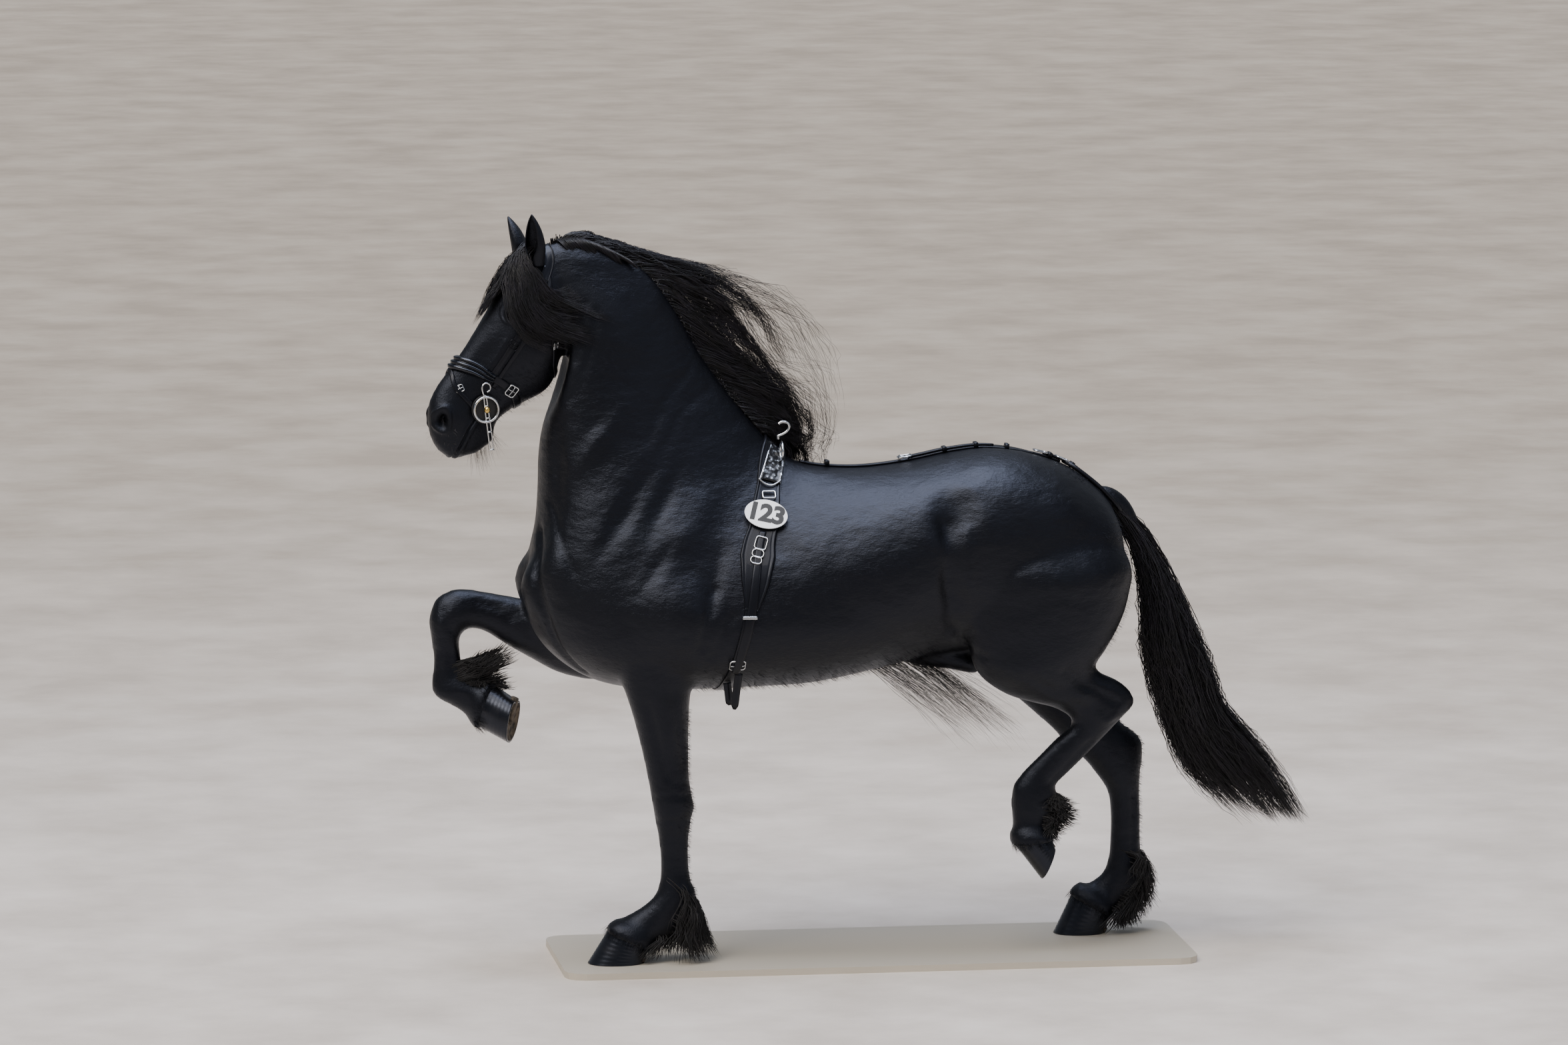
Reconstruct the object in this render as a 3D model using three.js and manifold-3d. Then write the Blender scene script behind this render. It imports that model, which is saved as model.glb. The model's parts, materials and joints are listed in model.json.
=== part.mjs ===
// A Friesian stallion in trot, life size, in show harness, on a flat display base.
// The horse faces -X, its left side is -Y and Z is up. Sizes are millimetres.
import * as THREE from "three";
import { mergeVertices } from "three/addons/utils/BufferGeometryUtils.js";
import Module from "manifold-3d";

const wasm = await Module();
wasm.setup();

// Driving dimensions
const GAP = 0.3; // where a limb is cut into pieces
const FIT = 0.6; // between a skin and what lies on it
const BASE = { length: 1900, width: 620, thick: 20, centre: 16, corner: 60 };
const POLL = new THREE.Vector3(-1006, 0, 2136); // top of the skull, between the ears
const FACE_SLOPE = 56; // the face below the horizontal, in degrees
const HEAD_TURN = 12; // the head looks this far to the left, in degrees
const TRUNK_SIDES = 20;
const TAIL_LOCKS = 14;
const MANE_LOCKS = 11;
const SIDE_LOCKS = 6;
const LIMB_SIDES = 10;
const HEAD_SIDES = 14;

// Surfaces from stations
// A station is a cross-section that stands on the horse's long plane. It runs from its top or front
// point to its low or back point, is centred at y, and is `half` wide to each side. `full` under 1
// makes it boxier, and `taper` over 0 makes it narrower towards the top.
const station = (top, low, half, y = 0, taper = 0, full = 1) => [...top, ...low, half, y, taper, full];

function blend(a, b, c, d, t) {
  // Catmull-Rom between b and c
  return b.map((_, i) => {
    const [p, q, r, s] = [a[i], b[i], c[i], d[i]];
    const bend = (2 * p - 5 * q + 4 * r - s) * t * t;
    const turn = (3 * q - p - 3 * r + s) * t ** 3;
    return 0.5 * (2 * q + (r - p) * t + bend + turn);
  });
}

function ring(st, sides) {
  const [tx, tz, lx, lz, half, y, taper, full] = st;
  const bent = (v) => Math.sign(v) * Math.abs(v) ** full;
  return Array.from({ length: sides }, (_, k) => {
    const turn = (2 * Math.PI * k) / sides;
    const up = bent(Math.sin(turn));
    const out = bent(Math.cos(turn)) * (1 - taper * Math.sin(turn));
    return new THREE.Vector3(
      (tx + lx) / 2 + ((tx - lx) / 2) * up,
      y + half * out,
      (tz + lz) / 2 + ((tz - lz) / 2) * up,
    );
  });
}

function loft(stations, sides, steps = 2) {
  const rings = [];
  const at = (i) => stations[Math.min(Math.max(i, 0), stations.length - 1)];
  for (let i = 0; i < stations.length - 1; i++)
    for (let s = 0; s < steps; s++)
      rings.push(ring(blend(at(i - 1), at(i), at(i + 1), at(i + 2), s / steps), sides));
  rings.push(ring(stations.at(-1), sides));
  return rings;
}

const middle = (points) => points.reduce((m, p) => m.add(p), new THREE.Vector3()).divideScalar(points.length);

// A closed surface through the rings, with a fan on each end.
function shell(rings) {
  const sides = rings[0].length;
  const points = [...rings.flat(), middle(rings[0]), middle(rings.at(-1))].map((p) => p.clone());
  const faces = [];
  rings.slice(1).forEach((_, i) => {
    for (let k = 0; k < sides; k++) {
      const [a, b] = [i * sides + k, i * sides + ((k + 1) % sides)];
      faces.push([a, b, b + sides], [a, b + sides, a + sides]);
    }
  });
  const last = (rings.length - 1) * sides;
  for (let k = 0; k < sides; k++) {
    faces.push([points.length - 2, (k + 1) % sides, k]);
    faces.push([points.length - 1, last + k, last + ((k + 1) % sides)]);
  }
  return { points, faces };
}

function normals(skin) {
  const out = skin.points.map(() => new THREE.Vector3());
  for (const face of skin.faces) {
    const [a, b, c] = face.map((i) => skin.points[i]);
    const n = b.clone().sub(a).cross(c.clone().sub(a));
    face.forEach((i) => out[i].add(n));
  }
  return out.map((n) => n.normalize());
}

const volume = (skin) =>
  skin.faces.reduce((v, [a, b, c]) => {
    const [p, q, r] = [skin.points[a], skin.points[b], skin.points[c]];
    return v + p.dot(q.clone().cross(r)) / 6;
  }, 0);

function outward(skin) {
  if (volume(skin) < 0) skin.faces = skin.faces.map(([a, b, c]) => [a, c, b]);
  return skin;
}

// Each muscle or hollow lifts the surface by `rise` inside an ellipsoid round `at`, turned by `lean`
// degrees in the long plane, on both sides of the horse unless `once` is set.
function swell(skin, muscles) {
  outward(skin);
  const out = normals(skin);
  const lift = skin.points.map(() => 0);
  for (const { at, reach, rise, lean = 0, once = false } of muscles) {
    const [c, s] = [Math.cos(THREE.MathUtils.degToRad(lean)), Math.sin(THREE.MathUtils.degToRad(lean))];
    for (const side of once ? [1] : [1, -1])
      skin.points.forEach((p, i) => {
        const [dx, dy, dz] = [p.x - at[0], p.y - side * at[1], p.z - at[2]];
        const away = Math.hypot((dx * c + dz * s) / reach[0], dy / reach[1], (dz * c - dx * s) / reach[2]);
        if (away < 1) lift[i] += rise * (1 - away * away) ** 2;
      });
  }
  skin.points.forEach((p, i) => p.addScaledVector(out[i], lift[i]));
  return skin;
}

function grown(skin, by) {
  outward(skin);
  const out = normals(skin);
  return { points: skin.points.map((p, i) => p.clone().addScaledVector(out[i], by)), faces: skin.faces };
}

function moved(skin, matrix) {
  return { points: skin.points.map((p) => p.clone().applyMatrix4(matrix)), faces: skin.faces };
}

// Solids
function solid(skin) {
  outward(skin);
  return new wasm.Manifold(
    new wasm.Mesh({
      numProp: 3,
      vertProperties: new Float32Array(skin.points.flatMap((p) => [p.x, p.y, p.z])),
      triVerts: new Uint32Array(skin.faces.flat()),
    }),
  );
}

const joined = (pieces) => pieces.reduce((a, b) => a.add(b));
const largest = (made) => made.decompose().sort((a, b) => b.volume() - a.volume())[0];

function geometryOf(made) {
  const mesh = made.getMesh();
  const points = new Float32Array(mesh.numVert * 3);
  for (let i = 0; i < mesh.numVert; i++)
    points.set(mesh.vertProperties.subarray(i * mesh.numProp, i * mesh.numProp + 3), i * 3);
  const geometry = new THREE.BufferGeometry();
  geometry.setAttribute("position", new THREE.BufferAttribute(points, 3));
  geometry.setIndex(new THREE.BufferAttribute(mesh.triVerts, 1));
  return geometry;
}

// Materials
const finish = (color, roughness, metalness = 0) =>
  new THREE.MeshStandardMaterial({ color, roughness, metalness });
const COAT = finish("#0b0a0d", 0.42);
const FINISHES = [
  [/^(bit$|buckle|terret|surcingle_(hook|dee|keeper|plate)|crupper_dee)/, finish("#c9ccd0", 0.2, 1)],
  [/^(bridle|surcingle|crupper)/, finish("#101012", 0.3)],
  [/^bit_ball/, finish("#d6b566", 0.25, 1)],
  [/^bit_guard/, finish("#101012", 0.6)],
  [/^number_plate/, finish("#eceef2", 0.3)],
  [/^hoof/, finish("#15161a", 0.3)],
  [/^eye/, finish("#120b08", 0.05)],
  [/^tail/, finish("#0e0c10", 0.5)],
];
const finishOf = (name) => FINISHES.find(([pattern]) => pattern.test(name))?.[1] ?? COAT;

const model = new THREE.Group();
const horse = new THREE.Group();
horse.position.set(BASE.centre, 0, BASE.thick + GAP);
model.add(horse);

function add(name, made) {
  const mesh = new THREE.Mesh(geometryOf(largest(made)), finishOf(name));
  mesh.name = name;
  horse.add(mesh);
}

// Trunk: neck, barrel and croup in one run of stations
const NECK = [
  station([-985, 2130], [-905, 1880], 62, 0, 0.1),
  station([-925, 2150], [-925, 1750], 76, 0, 0.15),
  station([-840, 2140], [-962, 1665], 90, 0, 0.25),
  station([-753, 2099], [-998, 1590], 102, 0, 0.32),
  station([-665, 2025], [-1012, 1505], 114, 0, 0.38),
  station([-592, 1918], [-1015, 1410], 128, 0, 0.42),
  station([-525, 1800], [-1022, 1310], 146, 0, 0.45),
  station([-455, 1700], [-1042, 1215], 172, 0, 0.46),
];
const BARREL = [
  station([-385, 1610], [-1064, 1110], 200, 0, 0.45),
  station([-320, 1535], [-1032, 985], 232, 0, 0.42),
  station([-268, 1490], [-945, 885], 258, 0, 0.36, 0.96),
  station([-210, 1468], [-820, 822], 280, 0, 0.3, 0.94),
  station([-140, 1458], [-640, 800], 300, 0, 0.22, 0.92),
  station([-55, 1455], [-430, 802], 316, 0, 0.12, 0.92),
  station([40, 1463], [-215, 810], 324, 0, 0.05, 0.92),
  station([130, 1478], [-20, 845], 318, 0, -0.02, 0.92),
  station([220, 1497], [150, 885], 300, 0, -0.08, 0.92),
  station([320, 1511], [290, 905], 290, 0, -0.14, 0.9),
  station([430, 1500], [420, 905], 286, 0, -0.1, 0.88),
  station([545, 1462], [555, 930], 262, 0, -0.04, 0.9),
  station([640, 1405], [660, 985], 222, 0, 0, 0.94),
  station([702, 1340], [722, 1070], 160, 0, 0, 1),
  station([728, 1270], [742, 1150], 80, 0, 0, 1),
];
const trunkRings = loft([...NECK, ...BARREL], TRUNK_SIDES, 1);

// Legs: shoulder or thigh first, then down to the crown of the hoof
const FORE_LEFT = [
  station([-905, 1090], [-520, 1100], 90, -150),
  station([-868, 965], [-528, 965], 86, -160),
  station([-806, 880], [-562, 880], 78, -166),
  station([-770, 800], [-577, 812], 68, -163),
  station([-744, 712], [-581, 717], 58, -158),
  station([-721, 617], [-581, 618], 49, -153),
  station([-705, 540], [-579, 545], 48, -150),
  station([-694, 480], [-569, 482], 52, -149),
  station([-685, 425], [-575, 425], 47, -148),
  station([-674, 365], [-580, 368], 35, -146),
  station([-670, 300], [-580, 300], 31, -145),
  station([-672, 240], [-575, 243], 36, -144),
  station([-690, 194], [-560, 182], 45, -143),
  station([-735, 160], [-606, 96], 43, -142),
  station([-782, 134], [-668, 58], 46, -142),
  station([-824, 98], [-702, 40], 54, -142),
];
const FORE_RIGHT = [
  station([-930, 1160], [-640, 960], 86, 140),
  station([-960, 1090], [-700, 860], 84, 150),
  station([-1000, 1056], [-800, 803], 78, 160),
  station([-1045, 1056], [-925, 822], 70, 163),
  station([-1095, 1066], [-1020, 872], 61, 162),
  station([-1146, 1076], [-1093, 915], 53, 160),
  station([-1203, 1087], [-1155, 955], 49, 157),
  station([-1256, 1086], [-1200, 967], 51, 154),
  station([-1303, 1052], [-1221, 957], 53, 152),
  station([-1326, 1000], [-1231, 940], 50, 150),
  station([-1321, 950], [-1232, 918], 42, 148),
  station([-1314, 890], [-1227, 886], 33, 146),
  station([-1316, 838], [-1220, 848], 33, 144),
  station([-1320, 798], [-1200, 822], 38, 142),
  station([-1308, 765], [-1180, 805], 46, 140),
  station([-1262, 738], [-1160, 815], 44, 140),
  station([-1215, 708], [-1148, 812], 46, 140),
  station([-1176, 672], [-1130, 800], 54, 140),
];
const HIND_LEFT = [
  station([250, 1330], [685, 1330], 128, -150),
  station([236, 1180], [740, 1180], 140, -160),
  station([234, 1060], [735, 1070], 134, -168),
  station([247, 940], [706, 985], 116, -172),
  station([280, 848], [665, 910], 98, -170),
  station([360, 786], [638, 868], 80, -165),
  station([440, 758], [652, 845], 66, -160),
  station([510, 738], [706, 820], 56, -156),
  station([556, 712], [748, 782], 52, -153),
  station([568, 692], [757, 744], 50, -150),
  station([555, 672], [722, 704], 46, -148),
  station([520, 645], [635, 612], 38, -146),
  station([470, 595], [560, 538], 33, -144),
  station([425, 550], [522, 500], 34, -142),
  station([392, 505], [530, 474], 42, -140),
  station([386, 455], [520, 425], 44, -140),
  station([390, 395], [498, 385], 42, -140),
  station([400, 325], [515, 345], 52, -140),
];
const HIND_RIGHT = [
  station([250, 1330], [685, 1330], 128, 150),
  station([238, 1180], [740, 1180], 136, 160),
  station([242, 1060], [736, 1070], 126, 166),
  station([262, 940], [710, 985], 110, 168),
  station([300, 852], [690, 915], 92, 165),
  station([385, 775], [680, 832], 75, 158),
  station([470, 705], [702, 745], 60, 152),
  station([556, 628], [762, 652], 52, 148),
  station([606, 573], [832, 592], 50, 146),
  station([660, 525], [839, 532], 50, 145),
  station([700, 475], [833, 488], 45, 143),
  station([728, 430], [831, 430], 38, 142),
  station([737, 360], [833, 360], 34, 140),
  station([736, 285], [834, 285], 33, 140),
  station([731, 225], [838, 225], 38, 140),
  station([714, 180], [848, 168], 45, 140),
  station([672, 150], [795, 88], 44, 140),
  station([622, 118], [742, 50], 54, 140),
];

const { degToRad } = THREE.MathUtils;
const v3 = (x, y, z) => new THREE.Vector3(x, y, z);

// Ready-made surfaces
function skinOf(geometry, matrix = new THREE.Matrix4()) {
  geometry.deleteAttribute("normal");
  geometry.deleteAttribute("uv");
  const merged = mergeVertices(geometry, 1e-3).applyMatrix4(matrix);
  const at = merged.attributes.position;
  const points = Array.from({ length: at.count }, (_, i) => new THREE.Vector3().fromBufferAttribute(at, i));
  const faces = [];
  for (let i = 0; i < merged.index.count; i += 3) faces.push([...merged.index.array.slice(i, i + 3)]);
  return { points, faces };
}

// A flat outline in the long plane, pushed through from y0 to y1.
function plate(outline, y0, y1) {
  const flat = outline.map(([x, z]) => new THREE.Vector2(x, z));
  if (THREE.ShapeUtils.isClockWise(flat)) flat.reverse();
  const count = flat.length;
  const points = [y0, y1].flatMap((y) => flat.map((p) => v3(p.x, y, p.y)));
  const cap = THREE.ShapeUtils.triangulateShape(flat, []);
  const faces = cap.flatMap(([a, b, c]) => [[a, b, c], [a + count, c + count, b + count]]);
  for (let i = 0; i < count; i++) {
    const j = (i + 1) % count;
    faces.push([i, i + count, j + count], [i, j + count, j]);
  }
  return { points, faces };
}

// The outline of a band of changing width along a path of [x, z, width].
function band(path) {
  const sides = path.map(([x, z, width], i) => {
    const [a, b] = [path[Math.max(i - 1, 0)], path[Math.min(i + 1, path.length - 1)]];
    const along = new THREE.Vector2(b[0] - a[0], b[1] - a[1]).normalize();
    return [1, -1].map((s) => [x - (s * along.y * width) / 2, z + (s * along.x * width) / 2]);
  });
  return [...sides.map((s) => s[0]), ...sides.map((s) => s[1]).reverse()];
}

const oval = (x, z, a, b, lean = 0, count = 12) =>
  Array.from({ length: count }, (_, i) => {
    const [c, s] = [Math.cos((2 * Math.PI * i) / count) * a, Math.sin((2 * Math.PI * i) / count) * b];
    const [cos, sin] = [Math.cos(degToRad(lean)), Math.sin(degToRad(lean))];
    return [x + c * cos - s * sin, z + c * sin + s * cos];
  });

// A round bar along points, with `axis` across all of them.
function bar(points, radius, axis, sides = 4, closed = true) {
  const count = points.length;
  const rings = points.map((p, i) => {
    const before = closed ? points[(i + count - 1) % count] : points[Math.max(i - 1, 0)];
    const after = closed ? points[(i + 1) % count] : points[Math.min(i + 1, count - 1)];
    const out = after.clone().sub(before).cross(axis).normalize();
    const up = out.clone().cross(after.clone().sub(before)).normalize();
    return Array.from({ length: sides }, (_, k) => {
      const turn = (2 * Math.PI * k) / sides;
      const [rise, reach] = [radius * Math.cos(turn), radius * Math.sin(turn)];
      return p.clone().addScaledVector(up, rise).addScaledVector(out, reach);
    });
  });
  if (!closed) return shell(rings);
  const faces = rings.flatMap((_, i) =>
    rings[0].flatMap((__, k) => {
      const [m, n] = [i * sides, ((i + 1) % count) * sides];
      const next = (k + 1) % sides;
      return [[m + k, m + next, n + next], [m + k, n + next, n + k]];
    }),
  );
  return { points: rings.flat(), faces };
}

// A ring or frame in the plane that faces `axis`, with `up` along its height.
function frameRing(centre, axis, up, width, height, radius, corners = 8, square = false) {
  const across = up.clone().cross(axis).normalize();
  const high = axis.clone().cross(across).normalize();
  const points = Array.from({ length: corners }, (_, i) => {
    const turn = (2 * Math.PI * (i + 0.5)) / corners;
    const reach = square ? 1 / Math.max(Math.abs(Math.cos(turn)), Math.abs(Math.sin(turn))) : 1;
    return centre
      .clone()
      .addScaledVector(across, (Math.cos(turn) * reach * width) / 2)
      .addScaledVector(high, (Math.sin(turn) * reach * height) / 2);
  });
  return bar(points, radius, axis.clone().normalize());
}

const ball = (centre, radii, turn = 0, wide = 12, high = 8) =>
  skinOf(
    new THREE.SphereGeometry(1, wide, high),
    new THREE.Matrix4().compose(
      centre,
      new THREE.Quaternion().setFromAxisAngle(v3(0, 1, 0), degToRad(turn)),
      v3(...radii),
    ),
  );

// A large block that fills everything on one side of a plane, from half a gap behind it.
function beyond(point, normal, gap = GAP) {
  const size = 5000;
  const turn = new THREE.Quaternion().setFromUnitVectors(v3(0, 0, 1), normal.clone().normalize());
  const centre = point.clone().addScaledVector(normal.clone().normalize(), size / 2 + gap / 2);
  const matrix = new THREE.Matrix4().compose(centre, turn, v3(1, 1, 1));
  return solid(skinOf(new THREE.BoxGeometry(size, size, size), matrix));
}

// Cuts a limb at each [x, z, direction of the next piece in degrees].
function parted(whole, cuts) {
  const pieces = [];
  for (const [x, z, angle] of cuts) {
    const next = v3(Math.cos(degToRad(angle)), 0, Math.sin(degToRad(angle)));
    pieces.push(whole.intersect(beyond(v3(x, 0, z), next.clone().negate())));
    whole = whole.intersect(beyond(v3(x, 0, z), next));
  }
  return [...pieces, whole];
}

function target(skin) {
  const geometry = new THREE.BufferGeometry();
  const numbers = skin.points.flatMap((p) => p.toArray());
  geometry.setAttribute("position", new THREE.Float32BufferAttribute(numbers, 3));
  geometry.setIndex(skin.faces.flat());
  return new THREE.Mesh(geometry, new THREE.MeshBasicMaterial({ side: THREE.DoubleSide }));
}

// Where a line from one side first meets a skin, and which way the skin faces there.
function onSide(mesh, x, z, side) {
  const hit = new THREE.Raycaster(v3(x, side * 900, z), v3(0, -side, 0)).intersectObject(mesh)[0];
  if (!hit) return undefined;
  const normal = hit.face.normal.clone();
  return { point: hit.point, normal: normal.y * side < 0 ? normal.negate() : normal };
}

// Straps
const placed = (skin, frame) => solid(frame ? moved(skin, frame) : skin);
const skinned = (skins, by, frame) => joined(skins.map((skin) => placed(grown(skin, by), frame)));
// All that lies under a given height over the skins, inside an outline pushed across the horse.
const cover = (skins, outline, high, y0 = -600, y1 = 600, frame = undefined) =>
  skinned(skins, high, frame).intersect(placed(plate(outline, y0, y1), frame));
// The same, from a lower height upwards.
const strap = (skins, outline, high, low = FIT, y0 = -600, y1 = 600, frame = undefined) =>
  cover(skins, outline, high, y0, y1, frame).subtract(skinned(skins, low, frame));

// Locks of hair
let seed = 7;
const chance = () => {
  seed = (seed * 16807) % 2147483647;
  return seed / 2147483647;
};
const vary = (by) => (chance() * 2 - 1) * by;

// A flat lock that tapers to a point along its path and lies with its flat side to `facing`.
function lock(path, width, thick, facing, rings = 5) {
  const curve = new THREE.CatmullRomCurve3(path, false, "centripetal");
  const sections = [];
  for (let i = 0; i < rings; i++) {
    const t = i / rings;
    const centre = curve.getPoint(t);
    const along = curve.getTangent(t);
    const side = along.clone().cross(facing).normalize();
    const out = side.clone().cross(along).normalize();
    const swell = (0.55 + 1.3 * t - 1.75 * t * t) * 1.15;
    const [wide, deep] = [(width * swell) / 2, (thick * swell) / 2];
    sections.push(
      [[1, 0], [0, 1], [-1, 0], [0, -1]].map(([a, b]) =>
        centre.clone().addScaledVector(side, a * wide).addScaledVector(out, b * deep),
      ),
    );
  }
  const tip = curve.getPoint(1);
  const points = [...sections.flat(), middle(sections[0]), tip];
  const faces = [];
  for (let i = 0; i < rings - 1; i++)
    for (let k = 0; k < 4; k++) {
      const [a, b] = [i * 4 + k, i * 4 + ((k + 1) % 4)];
      faces.push([a, b, b + 4], [a, b + 4, a + 4]);
    }
  for (let k = 0; k < 4; k++) {
    faces.push([rings * 4, (k + 1) % 4, k]);
    faces.push([rings * 4 + 1, (rings - 1) * 4 + k, (rings - 1) * 4 + ((k + 1) % 4)]);
  }
  return { points, faces };
}

const along = (line, t) => {
  const place = Math.min(Math.max(t, 0), 1) * (line.length - 1);
  const i = Math.min(Math.floor(place), line.length - 2);
  const [before, after] = [line[Math.max(i - 1, 0)], line[Math.min(i + 2, line.length - 1)]];
  return blend(before, line[i], line[i + 1], after, place - i);
};

// Trunk, neck and limbs
const trunk = outward(
  swell(shell(trunkRings), [
    { at: [-640, 262, 1070], reach: [180, 160, 150], rise: 20, lean: -30 },
    { at: [-600, 215, 1300], reach: [240, 140, 95], rise: 13, lean: 52 },
    { at: [-790, 150, 1330], reach: [250, 150, 45], rise: -13, lean: 58 },
    { at: [-1035, 95, 1120], reach: [100, 85, 120], rise: 20 },
    { at: [-1075, 0, 1120], reach: [80, 34, 150], rise: -16, once: true },
    { at: [195, 280, 1330], reach: [95, 120, 120], rise: -14 },
    { at: [225, 268, 1425], reach: [70, 60, 45], rise: 16 },
    { at: [400, 0, 1510], reach: [240, 34, 80], rise: -9, once: true },
    { at: [655, 150, 1210], reach: [110, 130, 170], rise: 14 },
    { at: [-965, 105, 1480], reach: [26, 90, 230], rise: -9 },
    { at: [-800, 90, 1900], reach: [160, 110, 120], rise: 8, lean: -55 },
  ]),
);
const limbs = { fore_left: FORE_LEFT, fore_right: FORE_RIGHT, hind_left: HIND_LEFT, hind_right: HIND_RIGHT };
const MUSCLES = {
  fore_left: [
    { at: [-760, -215, 770], reach: [50, 60, 120], rise: 9 },
    { at: [-640, -215, 720], reach: [60, 60, 130], rise: 8 },
    { at: [-576, -150, 462], reach: [24, 40, 32], rise: 7 },
    { at: [-575, -143, 205], reach: [30, 60, 40], rise: 6 },
  ],
  fore_right: [
    { at: [-1090, 220, 1010], reach: [110, 60, 50], rise: 9 },
    { at: [-1010, 215, 900], reach: [110, 60, 60], rise: 8 },
    { at: [-1300, 152, 1060], reach: [40, 70, 40], rise: 6 },
  ],
  hind_left: [
    { at: [390, -265, 860], reach: [110, 90, 60], rise: 10, lean: -20 },
    { at: [560, -215, 775], reach: [110, 60, 40], rise: 9 },
    { at: [560, -130, 1100], reach: [60, 320, 240], rise: -8, lean: 12 },
  ],
  hind_right: [
    { at: [420, 240, 840], reach: [110, 90, 60], rise: 10, lean: -20 },
    { at: [560, 205, 740], reach: [110, 60, 40], rise: 9, lean: -30 },
    { at: [560, 130, 1100], reach: [60, 320, 240], rise: -8, lean: 12 },
  ],
};
const CUTS = {
  fore_left: [[-690, 862, -90], [-632, 432, -92], [-628, 262, -90]],
  fore_right: [[-985, 935, 162], [-1265, 1000, 215], [-1270, 862, -90]],
  hind_left: [[470, 884, -81], [655, 735, -72], [480, 531, 243]],
  hind_right: [[495, 888, -81], [719, 581, -85], [785, 268, -90]],
};
// The surface that carries the weight, then the crown: [front, back, half width] of each.
const HOOVES = {
  fore_left: { crown: [[-824, 98], [-702, 40], 57], sole: [[-885, 0], [-714, 0], 66], y: -142 },
  fore_right: { crown: [[-1176, 672], [-1130, 800], 57], sole: [[-1084, 625], [-1058, 760], 63], y: 140 },
  hind_left: { crown: [[400, 325], [515, 345], 55], sole: [[479, 221], [521, 322], 58], y: -140 },
  hind_right: { crown: [[622, 118], [742, 50], 57], sole: [[566, 0], [726, 0], 61], y: 140 },
};

const lerp2 = (a, b, t) => [a[0] + (b[0] - a[0]) * t, a[1] + (b[1] - a[1]) * t];
function hoofSkin({ crown, sole, y }) {
  const [up, down] = [crown, sole].map(([front, back, half]) => ({ front, back, half }));
  const centre = lerp2(down.front, down.back, 0.5);
  const lift = lerp2(centre, lerp2(up.front, up.back, 0.5), 0.1);
  const hollow = (p, by) => lerp2(p, centre, by).map((v, i) => v + lift[i] - centre[i]);
  const rings = [
    station(lerp2(up.front, down.front, 0.008), lerp2(up.back, down.back, 0.016), up.half, y),
    station(lerp2(up.front, down.front, 0.5), lerp2(up.back, down.back, 0.5), (up.half + down.half) / 2, y),
    station(down.front, down.back, down.half, y, 0, 0.92),
    station(
      lerp2(down.front, down.back, 0.07),
      lerp2(down.back, down.front, 0.07),
      down.half * 0.86,
      y,
      0,
      0.92,
    ),
    station(hollow(down.front, 0.3), hollow(down.back, 0.3), down.half * 0.7, y),
  ];
  return shell(rings.map((st) => ring(st, LIMB_SIDES)));
}

const trunkSolid = solid(trunk);
const trunkFat = solid(grown(trunk, FIT));
const NECK_CUT = { point: v3(-748, 0, 1457), normal: v3(0.637, 0, -0.771) };
const uppers = [];
const nodes = {};
const hoofSkins = {};
const aboveFoot = {};
for (const [name, stations] of Object.entries(limbs)) {
  const skin = swell(shell(loft(stations, LIMB_SIDES, 1)), MUSCLES[name].map((m) => ({ ...m, once: true })));
  const [upper, arm, cannon, foot] = parted(solid(skin), CUTS[name]);
  uppers.push(upper);
  nodes[(name.startsWith("fore") ? "forearm_" : "gaskin_") + name] = largest(arm.subtract(trunkFat));
  nodes["cannon_" + name] = cannon;
  nodes["foot_" + name] = foot;
  const [x, z, angle] = CUTS[name][2];
  const back = v3(-Math.cos(degToRad(angle)), 0, -Math.sin(degToRad(angle)));
  aboveFoot[name] = solid(grown(skin, 2 * FIT)).intersect(beyond(v3(x, 0, z), back, -2 * GAP));
  hoofSkins[name] = hoofSkin(HOOVES[name]);
  nodes["hoof_" + name] = solid(hoofSkins[name]);
}
const SHEATH = [
  station([60, 880], [85, 862], 14),
  station([110, 900], [130, 850], 44),
  station([190, 910], [215, 838], 52),
  station([265, 905], [285, 822], 48),
  station([300, 890], [318, 820], 30),
];
const torsoFlesh = joined([
  trunkSolid.intersect(beyond(NECK_CUT.point, NECK_CUT.normal)),
  ...uppers,
  solid(shell(loft(SHEATH, 8, 1))),
]);
const torsoFat = trunkFat.intersect(beyond(NECK_CUT.point, NECK_CUT.normal, -GAP));

// Head, in its own frame: x runs down the face, y to the horse's right, z out of the forehead
const [slopeIn, slopeDown] = [Math.cos(degToRad(FACE_SLOPE)), Math.sin(degToRad(FACE_SLOPE))];
const HEAD = new THREE.Matrix4()
  .makeTranslation(...POLL)
  .multiply(new THREE.Matrix4().makeRotationZ(degToRad(HEAD_TURN)))
  .multiply(
    new THREE.Matrix4().makeBasis(v3(-slopeIn, 0, -slopeDown), v3(0, 1, 0), v3(-slopeDown, 0, slopeIn)),
  );
const SKULL = [
  station([-34, -62], [10, -180], 48),
  station([6, -6], [105, -208], 64, 0, 0.1),
  station([52, 20], [190, -222], 82, 0, 0.04),
  station([105, 29], [255, -244], 96, 0, -0.04),
  station([148, 31], [300, -258], 102, 0, -0.04),
  station([190, 30], [336, -262], 103, 0, -0.03),
  station([230, 27], [364, -255], 99, 0, -0.02),
  station([280, 26], [392, -240], 88, 0, 0.02),
  station([345, 26], [430, -216], 71, 0, 0.05),
  station([405, 27], [470, -195], 59, 0, 0.06),
  station([465, 32], [512, -184], 53, 0, 0.02),
  station([520, 35], [548, -192], 53, 0, -0.06),
  station([565, 30], [580, -196], 55, 0, -0.14),
  station([603, 14], [616, -186], 51, 0, -0.14),
  station([640, -14], [646, -160], 42, 0, -0.05),
  station([664, -44], [670, -134], 31),
  station([677, -72], [680, -114], 16),
];
const EYE_AT = [222, -22];
const EYE_RADIUS = 21;
const EYE_FIT = 0.8; // between the eye and its socket
const NOSTRIL = [604, -6];
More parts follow.
